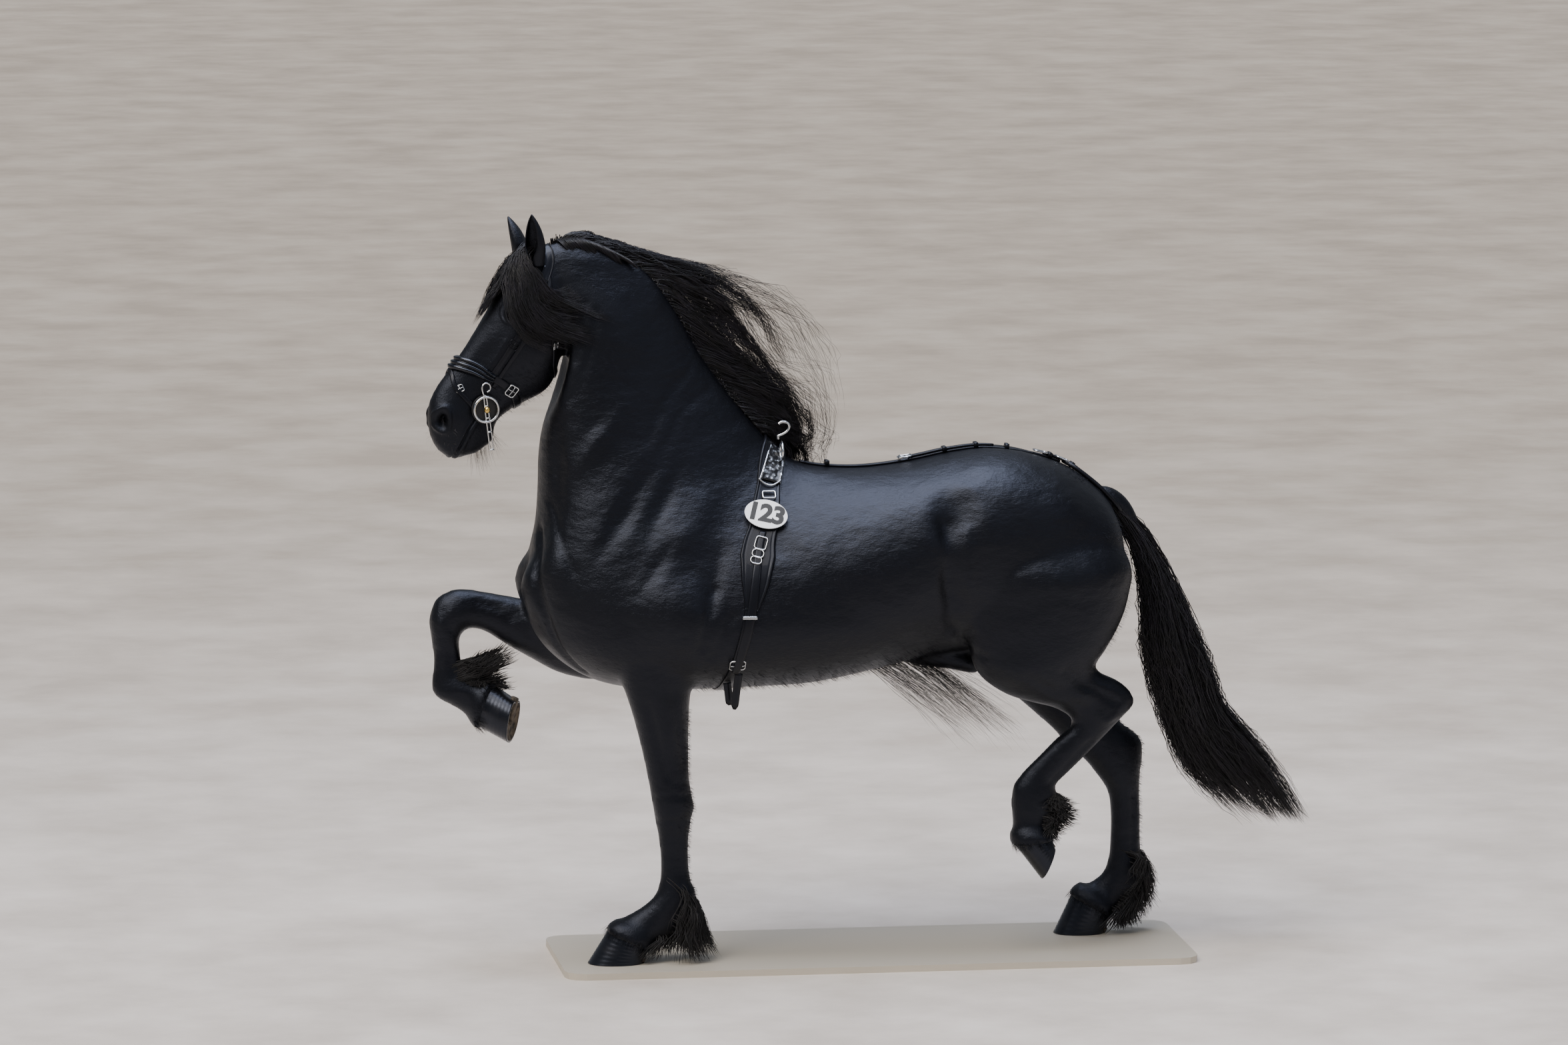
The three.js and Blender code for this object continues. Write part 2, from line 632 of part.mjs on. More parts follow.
const MOUTH_CORNER = [502, -112];
const skull = outward(
  swell(shell(loft(SKULL, HEAD_SIDES, 1)), [
    { at: [205, 100, -4], reach: [58, 60, 34], rise: 11 },
    { at: [135, 90, -12], reach: [34, 50, 26], rise: -8 },
    { at: [340, 80, -62], reach: [130, 60, 24], rise: 7, lean: -4 },
    { at: [400, 70, -20], reach: [110, 50, 26], rise: -5 },
    { at: [262, 105, -165], reach: [110, 90, 80], rise: 9 },
    { at: [455, 60, -125], reach: [80, 60, 36], rise: -5 },
    { at: [598, 56, -4], reach: [50, 40, 44], rise: 12 },
    { at: [560, 30, -190], reach: [40, 50, 30], rise: 9 },
  ]),
);
const skullMesh = target(skull);
const headed = (skin) => solid(moved(skin, HEAD));
const headCore = solid(moved(skull, HEAD));
const sides = [1, -1];
const eyeCentre = (side) => {
  const { point } = onSide(skullMesh, ...EYE_AT, side);
  return point.clone().setY(point.y - side * (EYE_RADIUS - 4));
};
const eyeBall = (side, radius) => headed(ball(eyeCentre(side), [radius, radius, radius], 0, 8, 6));
const hoop = (centre, radius, tube, stretch, turn, tip) =>
  skinOf(
    new THREE.TorusGeometry(radius, tube, 4, 8),
    new THREE.Matrix4()
      .makeTranslation(...centre)
      .multiply(new THREE.Matrix4().makeRotationZ(degToRad(tip)))
      .multiply(new THREE.Matrix4().makeRotationY(degToRad(turn)))
      .multiply(new THREE.Matrix4().makeRotationX(Math.PI / 2))
      .multiply(new THREE.Matrix4().makeScale(stretch[0], stretch[1], 1)),
  );
// The head is parted from the neck along this outline, behind the ears and the jaw.
const HEAD_PART = [
  [-962, 2300], [-962, 2150], [-925, 2040], [-884, 1960], [-876, 1890], [-890, 1830], [-915, 1772],
  [-950, 1742], [-1100, 1640], [-1500, 1500], [-1500, 2300],
];
const upperFlesh = headCore.add(trunkSolid);
const headPart = solid(plate(HEAD_PART, -400, 400));
let head = upperFlesh.intersect(headPart);
for (const side of sides) {
  const eye = eyeCentre(side);
  const lidPlace = [eye.x, eye.y + side * 8, eye.z];
  head = head.add(headed(hoop(lidPlace, 23, 7, [1.18, 0.8], 8, side * -4)));
  head = head.subtract(eyeBall(side, EYE_RADIUS + EYE_FIT));
  nodes[side > 0 ? "eye_right" : "eye_left"] = eyeBall(side, EYE_RADIUS);
  const nose = onSide(skullMesh, ...NOSTRIL, side).point;
  head = head.subtract(headed(ball(nose, [18, 26, 10], 52, 8, 6)));
}
head = head.subtract(
  headed(
    plate(
      [
        [MOUTH_CORNER[0], MOUTH_CORNER[1] + 1],
        [570, -98],
        [640, -110],
        [720, -104],
        [720, -160],
        [664, -146],
        [642, -121],
        [570, -102],
        [MOUTH_CORNER[0], MOUTH_CORNER[1] - 1],
      ],
      -90,
      90,
    ),
  ),
);
const tube = (from, to, radius, count = 8) => {
  const axis = to.clone().sub(from);
  const turn = new THREE.Quaternion().setFromUnitVectors(v3(0, 1, 0), axis.clone().normalize());
  return skinOf(
    new THREE.CylinderGeometry(radius, radius, axis.length(), count),
    new THREE.Matrix4().compose(from.clone().add(to).multiplyScalar(0.5), turn, v3(1, 1, 1)),
  );
};
const BIT_BAR = 7;
// A bar through the corners of the mouth, reaching `y` to each side.
const mouthBar = (y, radius) =>
  headed(tube(v3(MOUTH_CORNER[0], -y, MOUTH_CORNER[1]), v3(MOUTH_CORNER[0], y, MOUTH_CORNER[1]), radius));
head = head.subtract(mouthBar(120, BIT_BAR + 1));

// Ears
const EARS = {
  ear_left: { base: v3(52, -58, -2), tip: v3(-53, -80, 91), open: v3(0.75, -0.45, 0.5) },
  ear_right: { base: v3(56, 58, 0), tip: v3(-25, 80, 96), open: v3(0.75, 0.45, 0.5) },
};
const EAR_SHAPE = [
  [-0.1, 25, 24, 0], [0.12, 31, 27, 0], [0.35, 35, 26, 0], [0.62, 30, 20, 0], [0.85, 17, 11, 2],
  [1, 3, 3, 4],
];
function earSkin({ base, tip, open }, shrink, forward, from) {
  const axis = tip.clone().sub(base);
  const front = open.clone().addScaledVector(axis, -open.dot(axis) / axis.lengthSq()).normalize();
  const side = axis.clone().cross(front).normalize();
  return shell(
    EAR_SHAPE.filter(([t]) => t > from).map(([t, wide, deep, lean]) =>
      Array.from({ length: 8 }, (_, k) => {
        const turn = (2 * Math.PI * k) / 8;
        return base
          .clone()
          .addScaledVector(axis, t)
          .addScaledVector(side, Math.cos(turn) * Math.max(wide - shrink, 1))
          .addScaledVector(front, Math.sin(turn) * Math.max(deep - shrink, 1) + forward + lean);
      }),
    ),
  );
}
const skullFat = headed(grown(skull, FIT));
for (const [name, ear] of Object.entries(EARS))
  nodes[name] = headed(earSkin(ear, 0, 0, -1))
    .subtract(headed(earSkin(ear, 6, 15, 0)))
    .subtract(skullFat)
    .subtract(trunkFat);
const ears = joined(Object.values(EARS).map((ear) => headed(grown(earSkin(ear, 0, 0, -1), FIT))));

// Bridle
const neckSkin = moved(trunk, HEAD.clone().invert());
const headStrap = (path, high, low = FIT, skins = [skull]) =>
  strap(skins, band(path), high, low, -300, 300, HEAD);
const headCover = (path, high, skins = [skull]) => cover(skins, band(path), high, -300, 300, HEAD);
const wider = (path, by) => path.map(([x, z, w]) => [x, z, w + 2 * by]);
const CROWN = [
  [-40, 26, 26], [-4, -14, 26], [36, -42, 26], [108, -52, 24], [211, -66, 20], [330, -71, 20],
  [436, -76, 18],
];
const BROW = [[116, 70, 20], [112, 20, 20], [108, -10, 20], [96, -66, 20]];
const THROAT = [
  [48, -36, 18], [100, -76, 18], [172, -121, 18], [236, -177, 18], [288, -223, 18], [350, -296, 18],
];
const NOSE_PAD = [[432, 90, 44], [428, 40, 44], [418, -20, 40], [411, -76, 30]];
const NOSE_STRAP = [[411, -84, 24], [413, -145, 24], [432, -196, 24], [455, -250, 24]];
const FLASH = [
  [446, 84, 14], [464, 44, 14], [494, -3, 14], [508, -52, 14], [524, -120, 14], [552, -230, 14],
];
const crownClear = headCover(wider(CROWN, FIT), 4 + FIT, [skull, neckSkin]);
nodes.bridle_crown = headStrap(CROWN, 4.2, 2 * GAP + 0.2, [skull, neckSkin]);
const browStrap = headStrap(BROW, 8, FIT, [skull, neckSkin]);
nodes.bridle_browband = browStrap.subtract(crownClear);
nodes.bridle_throatlash = headStrap(THROAT, 3.5, FIT, [skull])
  .subtract(crownClear)
  .subtract(headCover([...wider(BROW, 1.5), [94, -76, 23]], 9.5, [skull, neckSkin]));
nodes.bridle_noseband = headStrap(NOSE_PAD, 13).subtract(crownClear);
nodes.bridle_chin_strap = headStrap(NOSE_STRAP, 4).subtract(crownClear);
nodes.bridle_flash = headStrap(FLASH, 3.5).subtract(headCover(wider(NOSE_PAD, GAP), 13 + GAP));
const bridleClear = [
  crownClear,
  headCover(wider(BROW, FIT), 8 + FIT, [skull, neckSkin]),
  headCover(wider(THROAT, FIT), 3.5 + FIT),
  headCover(wider(NOSE_PAD, GAP), 13 + GAP),
];

// Bit
const BIT_Y = 70;
const BIT_RING = { radius: 37, bar: 4 };
const SHANK = [[446, -63, 19], [470, -85, 15], [478, -92, 11], [546, -152, 16], [594, -194, 18]];
const SLOT = 8; // width of the long slot in each shank
const GUARD = { radius: 38, thick: 4 };
const flashClear = headCover(wider(FLASH, FIT), 3.5 + FIT);
let bit = mouthBar(BIT_Y, BIT_BAR);
for (const side of sides) {
  const [name, y] = [side > 0 ? "right" : "left", side * BIT_Y];
  const centre = v3(MOUTH_CORNER[0], y, MOUTH_CORNER[1]);
  const ringSize = BIT_RING.radius * 2;
  const arm = band(SHANK);
  const onShank = (t) => [...lerp2(SHANK[3], SHANK[4], t), SLOT];
  const slot = headed(plate(band([onShank(0.2), onShank(0.88)]), y - 9, y + 9));
  bit = bit
    .add(headed(plate(arm, y - 2.5, y + 2.5)))
    .add(headed(frameRing(centre, v3(0, 1, 0), v3(0, 0, 1), ringSize, ringSize, BIT_RING.bar, 10)))
    .subtract(headed(plate(oval(456, -72, 4, 4, 0, 6), y - 9, y + 9)))
    .subtract(slot);
  const stud = ball(centre.clone().setY(y + side * 9), [10, 6, 10], 0, 6, 4);
  const behindStud = plate(oval(...MOUTH_CORNER, 30, 30), y - 8, y + 8);
  nodes["bit_ball_" + name] = headed(stud).subtract(headed(behindStud));
  const outer = y - side * (BIT_RING.bar + 1);
  const guardOutline = oval(...MOUTH_CORNER, GUARD.radius, GUARD.radius, 0, 14);
  const disc = plate(guardOutline, outer - side * GUARD.thick, outer);
  nodes["bit_guard_" + name] = headed(disc)
    .subtract(mouthBar(120, BIT_BAR + FIT))
    .subtract(headed(grown(skull, 0.6)))
    .subtract(flashClear);
}
nodes.bit = bit;
const buckleOn = (mesh, x, z, side, up, width, height, radius, lift, frame) => {
  const { point, normal } = onSide(mesh, x, z, side);
  const centre = point.clone().addScaledVector(normal, lift);
  const made = frameRing(centre, normal, up, width, height, radius, 4, true);
  return solid(frame ? moved(made, frame) : made);
};
for (const side of sides) {
  const name = side > 0 ? "_right" : "_left";
  nodes["buckle_cheek" + name] = buckleOn(skullMesh, 300, -70, side, v3(1, 0, 0), 30, 24, 2, 8.5, HEAD);
}
nodes.buckle_throat = buckleOn(skullMesh, 236, -177, -1, v3(1, 0, -1), 26, 22, 2, 6.6, HEAD);
nodes.buckle_nose = buckleOn(skullMesh, 413, -148, -1, v3(0, 0, 1), 36, 30, 2.4, 7.4, HEAD);
nodes.buckle_flash = buckleOn(skullMesh, 494, -3, -1, v3(1, 0, -1.6), 24, 20, 1.8, 6.2, HEAD);

// Surcingle and crupper
const trunkMesh = target(trunk);
const PAD = [
  [-280, 1640, 84], [-297, 1540, 84], [-330, 1465, 76], [-352, 1370, 66], [-366, 1310, 80],
  [-384, 1260, 84], [-394, 1205, 102], [-404, 1140, 80], [-416, 1074, 38],
];
const GIRTH = [[-417.5, 1066, 36], [-442, 956, 34], [-475, 803, 34], [-490, 700, 34]];
const KEEPER = [[-418, 1058, 48], [-421, 1046, 48]];
const PAD_HIGH = 9;
const trunkStrap = (path, high, low, y0, y1) => strap([trunk], band(path), high, low, y0, y1);
nodes.surcingle_pad = trunkStrap(PAD, PAD_HIGH);
nodes.surcingle_girth = trunkStrap(GIRTH, 5);
// From a little off the middle outwards, on one side of the horse only.
const halfWay = (side) => (side > 0 ? [40, 600] : [-600, -40]);
const patch = (outline, side, high, low = PAD_HIGH + FIT) =>
  strap([trunk], outline, high, low, ...halfWay(side));
nodes.number_plate = patch(oval(-358, 1333, 64, 48, -10, 18), -1, PAD_HIGH + 5);
const SADDLE_PLATE = [
  [-306, 1510], [-300, 1472], [-314, 1452], [-306, 1424], [-334, 1413], [-362, 1430], [-360, 1460],
  [-374, 1480], [-364, 1512], [-336, 1522],
];
for (const side of sides) {
  const name = side > 0 ? "_right" : "_left";
  nodes["surcingle_plate" + name] = patch(SADDLE_PLATE, side, PAD_HIGH + 5);
  nodes["surcingle_keeper" + name] = trunkStrap(KEEPER, 9, 5 + GAP, ...halfWay(side));
  nodes["buckle_girth" + name] = buckleOn(trunkMesh, -453, 912, side, v3(0, 0, 1), 46, 40, 3, 10.5);
  nodes["surcingle_dee" + name] = buckleOn(trunkMesh, -344, 1387, side, v3(0, 0, 1), 40, 24, 3, PAD_HIGH + 6);
  nodes["buckle_billet" + name] = buckleOn(trunkMesh, -384, 1246, side, v3(0, 0, 1), 44, 56, 3, PAD_HIGH + 6);
}
const aroundTerrets = [];
const TERRET = { x: -308, z: 1492, size: 50, bar: 4 };
for (const side of sides) {
  const foot = onSide(trunkMesh, TERRET.x, TERRET.z, side);
  const rim = foot.point.clone().addScaledVector(foot.normal, PAD_HIGH + GAP + TERRET.size / 2 + TERRET.bar);
  const loop = frameRing(rim, v3(1, 0, 0), foot.normal, TERRET.size, TERRET.size, TERRET.bar, 10);
  nodes[side > 0 ? "terret_right" : "terret_left"] = solid(loop);
  aroundTerrets.push(solid(ball(rim, [24, 36, 36], 0, 8, 6)));
}
const HOOK = [[-300, 0], [-282, 4], [-268, 14], [-261, 27], [-268, 39], [-284, 41]];
// The height of the trunk's surface below a place over it.
const top = (x, y) => new THREE.Raycaster(v3(x, y, 2500), v3(0, 0, -1)).intersectObject(trunkMesh)[0].point.z;
const hookFoot = top(-304, 0) + PAD_HIGH + 5;
const hookPath = HOOK.map(([x, z]) => v3(x, 0, hookFoot + 6 + z));
nodes.surcingle_hook = solid(bar(hookPath, 5, v3(0, 1, 0), 5, false)).add(
  solid(tube(v3(-294, 0, hookFoot), v3(-294, 0, hookFoot + 8), 9, 6)),
);
nodes.crupper_strap = strap([trunk], [[-232, 1350], [-232, 1700], [552, 1700], [552, 1350]], 5, FIT, -13, 13);
const dee = v3(83, 0, top(83, 0) + 11);
nodes.crupper_dee = solid(frameRing(dee, v3(0, 0, 1), v3(1, 0, 0), 40, 26, 3, 4, true));
const LOOP = [[566, 0], [600, 26], [664, 44]].map(([x, y]) => v3(x, y, top(x, y) + 9));
LOOP.push(v3(716, 38, 1332), v3(738, 20, 1306));
const LOOP_UNDER = v3(744, 0, 1300);
const loopPath = [...LOOP, LOOP_UNDER, ...LOOP.slice(1).reverse().map((p) => v3(p.x, -p.y, p.z))];
nodes.crupper_loop = solid(bar(loopPath, 7, v3(0.5, 0, 0.86), 5));
const loopClear = solid(bar(loopPath, 7 + 2 * GAP, v3(0.5, 0, 0.86), 5));

// Tail
const TAIL_FRONT = [
  [728, 1345], [752, 1240], [778, 1140], [800, 1024], [812, 873], [850, 721], [885, 619], [929, 517],
  [1016, 414], [1105, 342],
];
const TAIL_BACK = [
  [691, 1368], [769, 1328], [840, 1240], [921, 1073], [975, 940], [1020, 830], [1062, 716],
  [1155, 614], [1230, 520], [1337, 347],
];
const TAIL_SPREAD = [26, 40, 56, 70, 82, 90, 92, 88, 76, 50];
const inTail = (t, s, y) => {
  const [f, b] = [along(TAIL_FRONT, t), along(TAIL_BACK, t)];
  const [x, z] = lerp2(f, b, (s + 1) / 2);
  return v3(x, y * along(TAIL_SPREAD.map((w) => [w]), t)[0], z);
};
const CORE = { rings: 8, sides: 10, end: 0.5 }; // the hair's dense middle, down to half of the tail
const tailCore = shell(
  Array.from({ length: CORE.rings }, (_, i) => {
    const slim = i === CORE.rings - 1 ? 0.25 : 0.8;
    return Array.from({ length: CORE.sides }, (_, k) => {
      const turn = (2 * Math.PI * k) / CORE.sides;
      const down = (i / (CORE.rings - 1)) * CORE.end;
      return inTail(down, slim * Math.cos(turn), slim * 0.9 * Math.sin(turn));
    });
  }),
);
// The flesh of the tail, as [x, z, radius] from its root down.
const DOCK = [
  [655, 1352, 30], [700, 1346, 32], [742, 1318, 27], [775, 1262, 22], [796, 1190, 18], [812, 1110, 10],
];
const dockRings = DOCK.map(([x, z, r], i) => {
  const [a, b] = [DOCK[Math.max(i - 1, 0)], DOCK[Math.min(i + 1, DOCK.length - 1)]];
  const dir = v3(b[0] - a[0], 0, b[1] - a[1]).normalize();
  const up = v3(-dir.z, 0, dir.x);
  return Array.from({ length: 8 }, (_, k) => {
    const turn = (Math.PI * k) / 4;
    return v3(x, r * Math.cos(turn), z).addScaledVector(up, r * Math.sin(turn));
  });
});
const dock = shell(dockRings);
const tailLocks = [];
for (let i = 0; i < TAIL_LOCKS; i++) {
  const turn = (2 * Math.PI * (i * 0.382)) % (2 * Math.PI);
  const [s, y] = [Math.cos(turn), Math.sin(turn)];
  const start = 0.04 + 0.3 * ((i * 0.618) % 1);
  const end = Math.min(0.93 + 0.07 * s + vary(0.03), 1);
  const path = [0, 0.3, 0.65, 1].map((u) => {
    const spread = 0.15 + 0.78 * Math.min(u * 1.5, 1) + vary(0.05);
    return inTail(start + (end - start) * u, s * spread, y * spread);
  });
  const facing = v3(s, y * 1.2, 0.2 * s).normalize();
  tailLocks.push(solid(lock(path, 74, 26, facing, 4)));
}
nodes.tail = joined([solid(dock), solid(tailCore), ...tailLocks]).subtract(torsoFat).subtract(loopClear);

// Mane
const CREST = [
  [-955, 2148], [-875, 2150], [-753, 2095], [-652, 2018], [-592, 1914], [-509, 1771], [-400, 1650],
  [-335, 1575],
];
const MANE_EDGE = [
  [-850, 2152], [-729, 2082], [-610, 2052], [-500, 1996], [-414, 1915], [-330, 1780], [-268, 1685],
  [-215, 1590],
];
const overCrest = (q, back, down, lift) => {
  const [x, z] = along(CREST, q);
  const hit = onSide(trunkMesh, x + back, z - down, 1);
  return v3(x + back, (hit ? hit.point.y : 10) + lift, z - down);
};
const maneLocks = [];
for (let i = 0; i < MANE_LOCKS; i++) {
  // blown back behind the crest
  const q = (i + 0.5) / MANE_LOCKS;
  const [root, edge] = [along(CREST, q), along(MANE_EDGE, Math.min(q + 0.05 + vary(0.02), 1))];
  const half = lerp2(root, edge, 0.5);
  const out = 4 + 22 * Math.sin(Math.PI * q);
  const path = [
    v3(root[0] - 8, 2, root[1] - 16),
    v3(lerp2(root, half, 0.4)[0] + 6, 12 + vary(8), lerp2(root, half, 0.4)[1] + out),
    v3(half[0] + 16, 42 + vary(12), half[1] + out * 0.7),
    v3(edge[0], 74 + vary(26), edge[1]),
    v3(edge[0] + 26 + vary(14), 92 + vary(24), edge[1] - 70 - 40 * q + vary(20)),
  ];
  const turned = THREE.MathUtils.smoothstep(q, 0.1, 0.5);
  const facing = v3(0.6, 0.2, 0.75).lerp(v3(0.2, 0.9, 0.3), turned).normalize();
  maneLocks.push(solid(lock(path, 70 + 56 * turned, 24, facing, 4)));
}
for (let i = 0; i < SIDE_LOCKS; i++) {
  // down the far side of the neck
  const q = (i + 0.5) / SIDE_LOCKS;
  const long = 330 + 90 * Math.sin(Math.PI * q) + vary(40);
  const back = 0.42 + 0.2 * q + vary(0.06);
  const path = [
    overCrest(q, -4, 14, -6),
    overCrest(q, 16, 30, 16),
    overCrest(q, long * back * 0.4, long * 0.38, 17),
    overCrest(q, long * back * 0.75, long * 0.7, 20 + vary(6)),
    overCrest(q, long * back, long, 22 + vary(8)),
  ];
  maneLocks.push(solid(lock(path, 104, 20, v3(0, 1, 0.3).normalize(), 4)));
}

// Forelock
const inFace = (x, y, lift) => {
  // x counts down the face and y across it
  const hit = new THREE.Raycaster(v3(x, y, 400), v3(0, 0, -1)).intersectObject(skullMesh)[0];
  return v3(x, y, (hit ? hit.point.z : 0) + lift);
};
const onCheek = (x, z, side, lift) => {
  const hit = onSide(skullMesh, x, z, side) ?? { point: v3(x, side * 80, z) };
  return v3(x, hit.point.y + side * lift, z);
};
const FORELOCK = [
  { y: -30, to: 0.6, drift: -22 }, { y: -10, to: 1, drift: -8 }, { y: 12, to: 0.84, drift: 14 },
  { y: 34, to: 0.6, drift: 30 },
];
const foreLocks = FORELOCK.map(({ y, to, drift }) => {
  const xs = [6, 80, 160, 230, 300].map((x) => 6 + (x - 6) * to);
  const path = xs.map((x, i) => {
    const across = y * (0.5 + i * 0.22) + drift * (i / 4) + (i % 2 ? 5 : -5);
    return inFace(x, across, i ? 13 : -8);
  });
  return solid(moved(lock(path, 50, 16, v3(0, 0.1, 1), 4), HEAD));
});
// swept back over the near eye and the cheek, above the straps
const SWEEP = [
  { z: [-30, -96, -168, -262], x: [100, 140, 136, 104] },
  { z: [-18, -70, -132, -214], x: [126, 184, 196, 178] },
  { z: [-8, -44, -86, -140], x: [150, 222, 256, 262] },
];
const sweepLocks = SWEEP.map(({ x, z }, i) => {
  const path = [
    inFace(14 + 4 * i, -14 - 5 * i, -8),
    inFace(60 + 10 * i, -44 - 3 * i, 12),
    ...x.map((at, k) => onCheek(at, z[k], -1, 18 + 3 * k)),
  ];
  return solid(moved(lock(path, 66, 18, v3(0.1, -1, 0.45).normalize(), 5), HEAD));
});

// Feather
// For each foot: where the hair grows, from high to low, and where its tips end, in the long plane.
const FEATHER = {
  fore_left: {
    roots: [[-604, 250], [-590, 196], [-612, 130], [-668, 84]],
    tips: [[-545, 84], [-488, 24], [-560, 14], [-690, 14]],
    ahead: [-70, -96],
    start: 618,
  },
  fore_right: {
    roots: [[-1240, 862], [-1224, 826], [-1196, 806], [-1160, 796]],
    tips: [[-1120, 884], [-1066, 896], [-1072, 840], [-1058, 780]],
    ahead: [-46, -60],
    start: 426,
  },
  hind_left: {
    roots: [[492, 470], [494, 436], [488, 400], [490, 362]],
    tips: [[588, 452], [606, 410], [580, 372], [548, 340]],
    ahead: [-56, -70],
    start: 234,
  },
  hind_right: {
    roots: [[812, 252], [824, 196], [796, 116], [756, 80]],
    tips: [[880, 176], [884, 96], [842, 34], [782, 14]],
    ahead: [-66, -84],
    start: 648,
  },
};
for (const [name, { roots, tips, ahead, start }] of Object.entries(FEATHER)) {
  seed = start;
  const y = HOOVES[name].y;
  const hoof = solid(grown(hoofSkins[name], FIT));
  const locks = [];
  for (const [row, u] of [0.08, 0.42, 0.8].entries())
    for (const side of [[0], [-0.7, 0.7], [-1, 0, 1]][row]) {
      const [root, tip] = [along(roots, u + vary(0.04)), along(tips, u + vary(0.06))];
      const [from, to] = [ahead[0] * side * side * 0.5, ahead[1] * side * side];
      const [near, far] = [lerp2(root, tip, 0.35), lerp2(root, tip, 0.7)];
      const path = [
        v3(root[0] + from - 10, y + 26 * side, root[1] + 4),
        v3(near[0] + from * 0.9 + 16, y + 52 * side + vary(3), near[1] + 8),
        v3(far[0] + to * 0.7, y + 72 * side + vary(4), far[1]),
        v3(tip[0] + to + vary(8), y + 88 * side + vary(6), Math.max(tip[1] + vary(5), 5)),
      ];
      locks.push(solid(lock(path, 96, 26, v3(1 - Math.abs(side), side * 1.1, 0.1).normalize(), 3)));
    }
  const foot = nodes["foot_" + name];
  nodes["foot_" + name] = foot.add(joined(locks).subtract(hoof).subtract(aboveFoot[name]));
}
const bridle = joined(bridleClear);
const headFat = skullFat.add(trunkFat).intersect(solid(grown(plate(HEAD_PART, -400, 400), 2 * FIT)));
const neckFat = trunkFat.subtract(solid(plate(HEAD_PART, -400, 400)));
const eyeClear = joined(sides.map((side) => eyeBall(side, EYE_RADIUS + EYE_FIT)));
const aroundHook = solid(frameRing(v3(-300, 0, hookFoot + 20), v3(0, 1, 0), v3(0, 0, 1), 60, 60, 14, 8));
const surcingleClear = joined([
  cover([trunk], band(wider(PAD, 18)), PAD_HIGH + 7),
  ...aroundTerrets,
  aroundHook,
]);
const neckFlesh = upperFlesh
  .intersect(beyond(NECK_CUT.point, NECK_CUT.normal.clone().negate()))
  .subtract(solid(grown(plate(HEAD_PART, -400, 400), 4 * GAP)));
const hang = (locks, ...clear) => joined(locks).subtract(joined(clear));
nodes.neck = neckFlesh.add(hang(maneLocks, headFat, surcingleClear, torsoFat, bridle, ears));
nodes.head = head.add(hang([...foreLocks, ...sweepLocks], neckFat, bridle, ears, eyeClear));
nodes.torso = torsoFlesh.subtract(loopClear);

for (const [name, made] of Object.entries(nodes)) add(name, made);

const rim = [[1, 1, 0], [-1, 1, 90], [-1, -1, 180], [1, -1, 270]].flatMap(([sx, sy, from]) =>
  [0, 30, 60, 90].map((turn) => [
    sx * (BASE.length / 2 - BASE.corner) + BASE.corner * Math.cos(degToRad(from + turn)),
    sy * (BASE.width / 2 - BASE.corner) + BASE.corner * Math.sin(degToRad(from + turn)),
  ]),
);
const flat = new THREE.Matrix4().makeRotationX(Math.PI / 2);
const baseSolid = solid(moved(plate(rim, 0, BASE.thick), flat));
const base = new THREE.Mesh(geometryOf(baseSolid), finish("#c9bda6", 0.7));
base.name = "stand_base";
model.add(base);

export default model;
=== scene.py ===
# %% [markdown]
# # A Friesian stallion in show harness
# A life-size museum model of a black Friesian stallion in a high trot, on a flat display base. The
# frame holds its solids. Here one smooth skin takes the place of the flesh, the long hair is built
# strand by strand, and the harness gets its leather and its plating.

# %% Load the frame
import json
import math

import bpy
import numpy as np
from mathutils import Matrix, Vector
from mathutils.bvhtree import BVHTree

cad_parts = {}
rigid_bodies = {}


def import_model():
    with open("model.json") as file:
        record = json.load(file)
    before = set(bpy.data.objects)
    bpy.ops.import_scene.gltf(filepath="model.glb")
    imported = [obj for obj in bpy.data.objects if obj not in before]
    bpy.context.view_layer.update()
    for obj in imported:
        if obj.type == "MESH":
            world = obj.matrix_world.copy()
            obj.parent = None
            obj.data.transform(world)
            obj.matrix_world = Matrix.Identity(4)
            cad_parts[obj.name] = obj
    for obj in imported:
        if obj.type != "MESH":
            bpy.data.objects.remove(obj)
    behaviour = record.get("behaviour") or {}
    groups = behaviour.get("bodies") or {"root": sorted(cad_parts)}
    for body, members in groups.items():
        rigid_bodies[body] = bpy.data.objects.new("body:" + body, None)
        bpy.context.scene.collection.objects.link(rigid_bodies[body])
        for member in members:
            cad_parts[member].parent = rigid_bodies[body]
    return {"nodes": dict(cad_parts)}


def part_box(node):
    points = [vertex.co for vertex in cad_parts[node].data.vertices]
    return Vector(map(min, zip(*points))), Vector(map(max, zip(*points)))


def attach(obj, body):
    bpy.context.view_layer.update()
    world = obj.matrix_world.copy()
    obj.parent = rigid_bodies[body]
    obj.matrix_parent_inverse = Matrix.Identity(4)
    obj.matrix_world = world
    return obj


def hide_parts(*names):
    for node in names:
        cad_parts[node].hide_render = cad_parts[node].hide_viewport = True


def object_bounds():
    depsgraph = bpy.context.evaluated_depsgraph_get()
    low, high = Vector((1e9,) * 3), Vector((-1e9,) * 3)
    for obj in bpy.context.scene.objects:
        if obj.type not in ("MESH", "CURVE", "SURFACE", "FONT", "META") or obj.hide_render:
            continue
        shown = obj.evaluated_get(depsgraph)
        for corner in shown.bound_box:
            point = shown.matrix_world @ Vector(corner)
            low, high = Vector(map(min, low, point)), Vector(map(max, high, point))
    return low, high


for leftover in list(bpy.data.objects):
    bpy.data.objects.remove(leftover)
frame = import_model()
nodes = frame["nodes"]
cad_box = [list(corner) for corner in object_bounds()]
BODY = "root"
SIDES = ((-1, "left"), (1, "right"))
print("frame box", cad_box)

# %% [markdown]
# ## Where things are
# The horse faces -X, its left side is -Y and Z is up. The tables below are in millimetres, measured
# from the ground under the hooves, so one shift moves them onto the base. The head has a frame of its
# own: x runs down the face, y to the horse's right and z out of the forehead.

